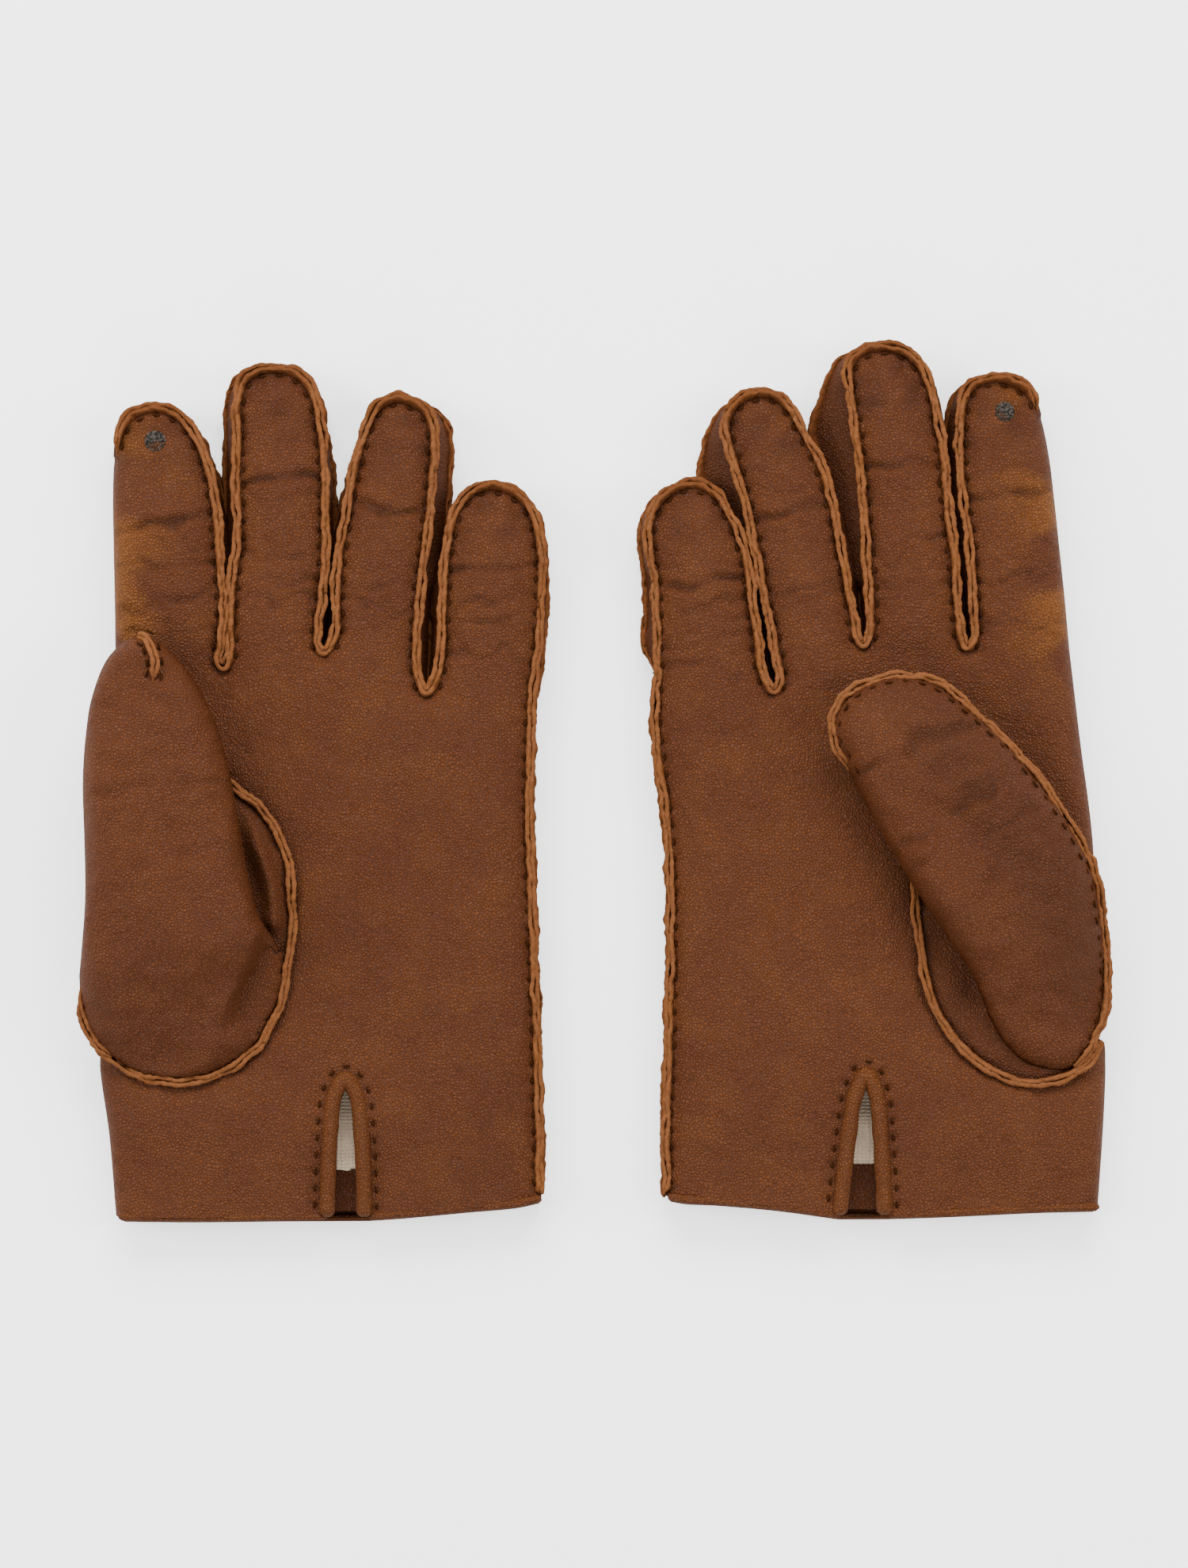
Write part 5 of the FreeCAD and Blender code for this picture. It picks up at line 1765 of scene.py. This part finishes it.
                centre = verts[-m:].mean(0)
                verts = np.vstack([verts, centre])
                base = (len(rings) - 1) * m
                faces += [(base + k, base + (k + 1) % m, len(verts) - 1) for k in range(m)]
            normals = np.zeros_like(verts)
            faces = np.array(faces)
            a3, b3, c3 = (verts[faces[:, k]] for k in range(3))
            for k in range(3):
                np.add.at(normals, faces[:, k], np.cross(b3 - a3, c3 - a3))
            ring_centre = np.repeat(np.array([r.mean(0) for r in rings]), m, 0)
            if (normals[: len(ring_centre)] * (verts[: len(ring_centre)] - ring_centre)).sum() < 0:
                normals, faces = -normals, faces[:, ::-1]
            build = Build()
            build.shell(verts, normals, faces, KNIT)
            stem = f"{self.hand}_{digit.name}"
            nodes = {"base": f"{stem}_lining_base", "tip": f"{stem}_tip_lining"}
            if digit.name == "thumb":
                nodes = {"base": f"{stem}_base_lining", "tip": f"{stem}_tip_lining"}
            piece = build.piece(f"{stem}_lining_{part}_knit", "lining", [nodes[part]])
            digit.attach(piece, part, start=blend_start)

    def build_touch(self):
        """The touch-screen spot: a rosette of small raised dots set in the fingertip."""
        x, y, radius = self.data["touch"]
        build = Build()
        spots = [(0.0, 0.0)]
        for ring, count in ((0.36, 6), (0.70, 12), (0.98, 18)):
            turns = [2 * math.pi * k / count for k in range(count)]
            spots += [(radius * ring * math.cos(turn), radius * ring * math.sin(turn)) for turn in turns]
        places = np.array(spots) + (x, y)
        z = self.height(places)
        angle = np.linspace(0, 2 * math.pi, 25)[:-1]
        rim = np.stack([np.cos(angle), np.sin(angle)], 1) * (radius + 0.25)
        level = z.mean()
        disc = np.array([(x, y, level - 0.6), (x, y, level + 0.06), (x, y, level + 0.1)])
        sweep(build, disc, rim, np.array([0, 1.0, 0]), scale=np.array([1, 1, 0.9]))
        angle = np.linspace(0, 2 * math.pi, 9)[:-1]
        for (px, py), level in zip(places, z):
            path = np.array([(px, py, level - 0.3), (px, py, level + 0.12), (px, py, level + 0.22)])
            ring = np.stack([np.cos(angle), np.sin(angle)], 1) * 0.36
            sweep(build, path, ring, np.array([0, 1.0, 0]), scale=np.array([1, 1, 0.55]))
        name = self.data["touch_finger"]
        stem = f"{self.hand}_{name}"
        piece = build.piece(f"{stem}_touch_dots", "touch_patch", [f"{stem}_touch_patch"])
        self.digits[name].attach(piece, "tip")

    def build(self):
        self.build_leather()
        self.build_seams()
        self.build_stitches()
        self.build_gusset()
        self.build_thumb()
        self.build_vent()
        self.build_hem()
        self.build_lining()
        self.build_touch()


for hand in GLOVES:
    Glove(hand).build()


# ---------------------------------------------------------------- floor, lights and camera

low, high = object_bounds()
floor_mesh = bpy.data.meshes.new("studio_floor")
FLOOR_HALF = 3.0
corners = [(x * FLOOR_HALF, y * FLOOR_HALF, low[2] - 0.0002) for x, y in ((-1, -1), (1, -1), (1, 1), (-1, 1))]
floor_mesh.from_pydata(corners, [], [(0, 1, 2, 3)])
floor = bpy.data.objects.new("studio_floor", floor_mesh)
bpy.context.scene.collection.objects.link(floor)
floor_mesh.materials.append(shader("pale_floor", build_floor))


def area_light(name, place, size, power, target=(0, 0, 0)):
    light = bpy.data.lights.new(name, "AREA")
    light.shape = "RECTANGLE"
    light.size, light.size_y = size
    light.energy = power
    made = bpy.data.objects.new(name, light)
    made.location = place
    direction = Vector(target) - Vector(place)
    made.rotation_euler = direction.to_track_quat("-Z", "Y").to_euler()
    bpy.context.scene.collection.objects.link(made)


area_light("softbox_head", (0.0, 1.35, 1.05), (1.6, 0.8), 68)
area_light("softbox_left", (-1.4, 0.25, 0.95), (0.9, 1.3), 44)
area_light("softbox_right", (1.4, 0.1, 0.95), (0.9, 1.3), 36)
area_light("softbox_foot", (0.0, -1.4, 0.9), (1.4, 0.7), 20)
world = bpy.data.worlds.new("studio")
world.use_nodes = True
world.node_tree.nodes["Background"].inputs[0].default_value = (1, 1, 1, 1)
world.node_tree.nodes["Background"].inputs[1].default_value = 0.32
bpy.context.scene.world = world

CAMERA_HEIGHT = 1.5
FRAME_HEIGHT = 0.4097
SENSOR = 36.0
camera_data = bpy.data.cameras.new("camera")
camera_data.sensor_fit = "VERTICAL"
camera_data.sensor_height = SENSOR
camera_data.lens = SENSOR * (CAMERA_HEIGHT - 0.012) / FRAME_HEIGHT
camera = bpy.data.objects.new("camera", camera_data)
camera.location = (0, 0, CAMERA_HEIGHT)
bpy.context.scene.collection.objects.link(camera)
bpy.context.scene.camera = camera
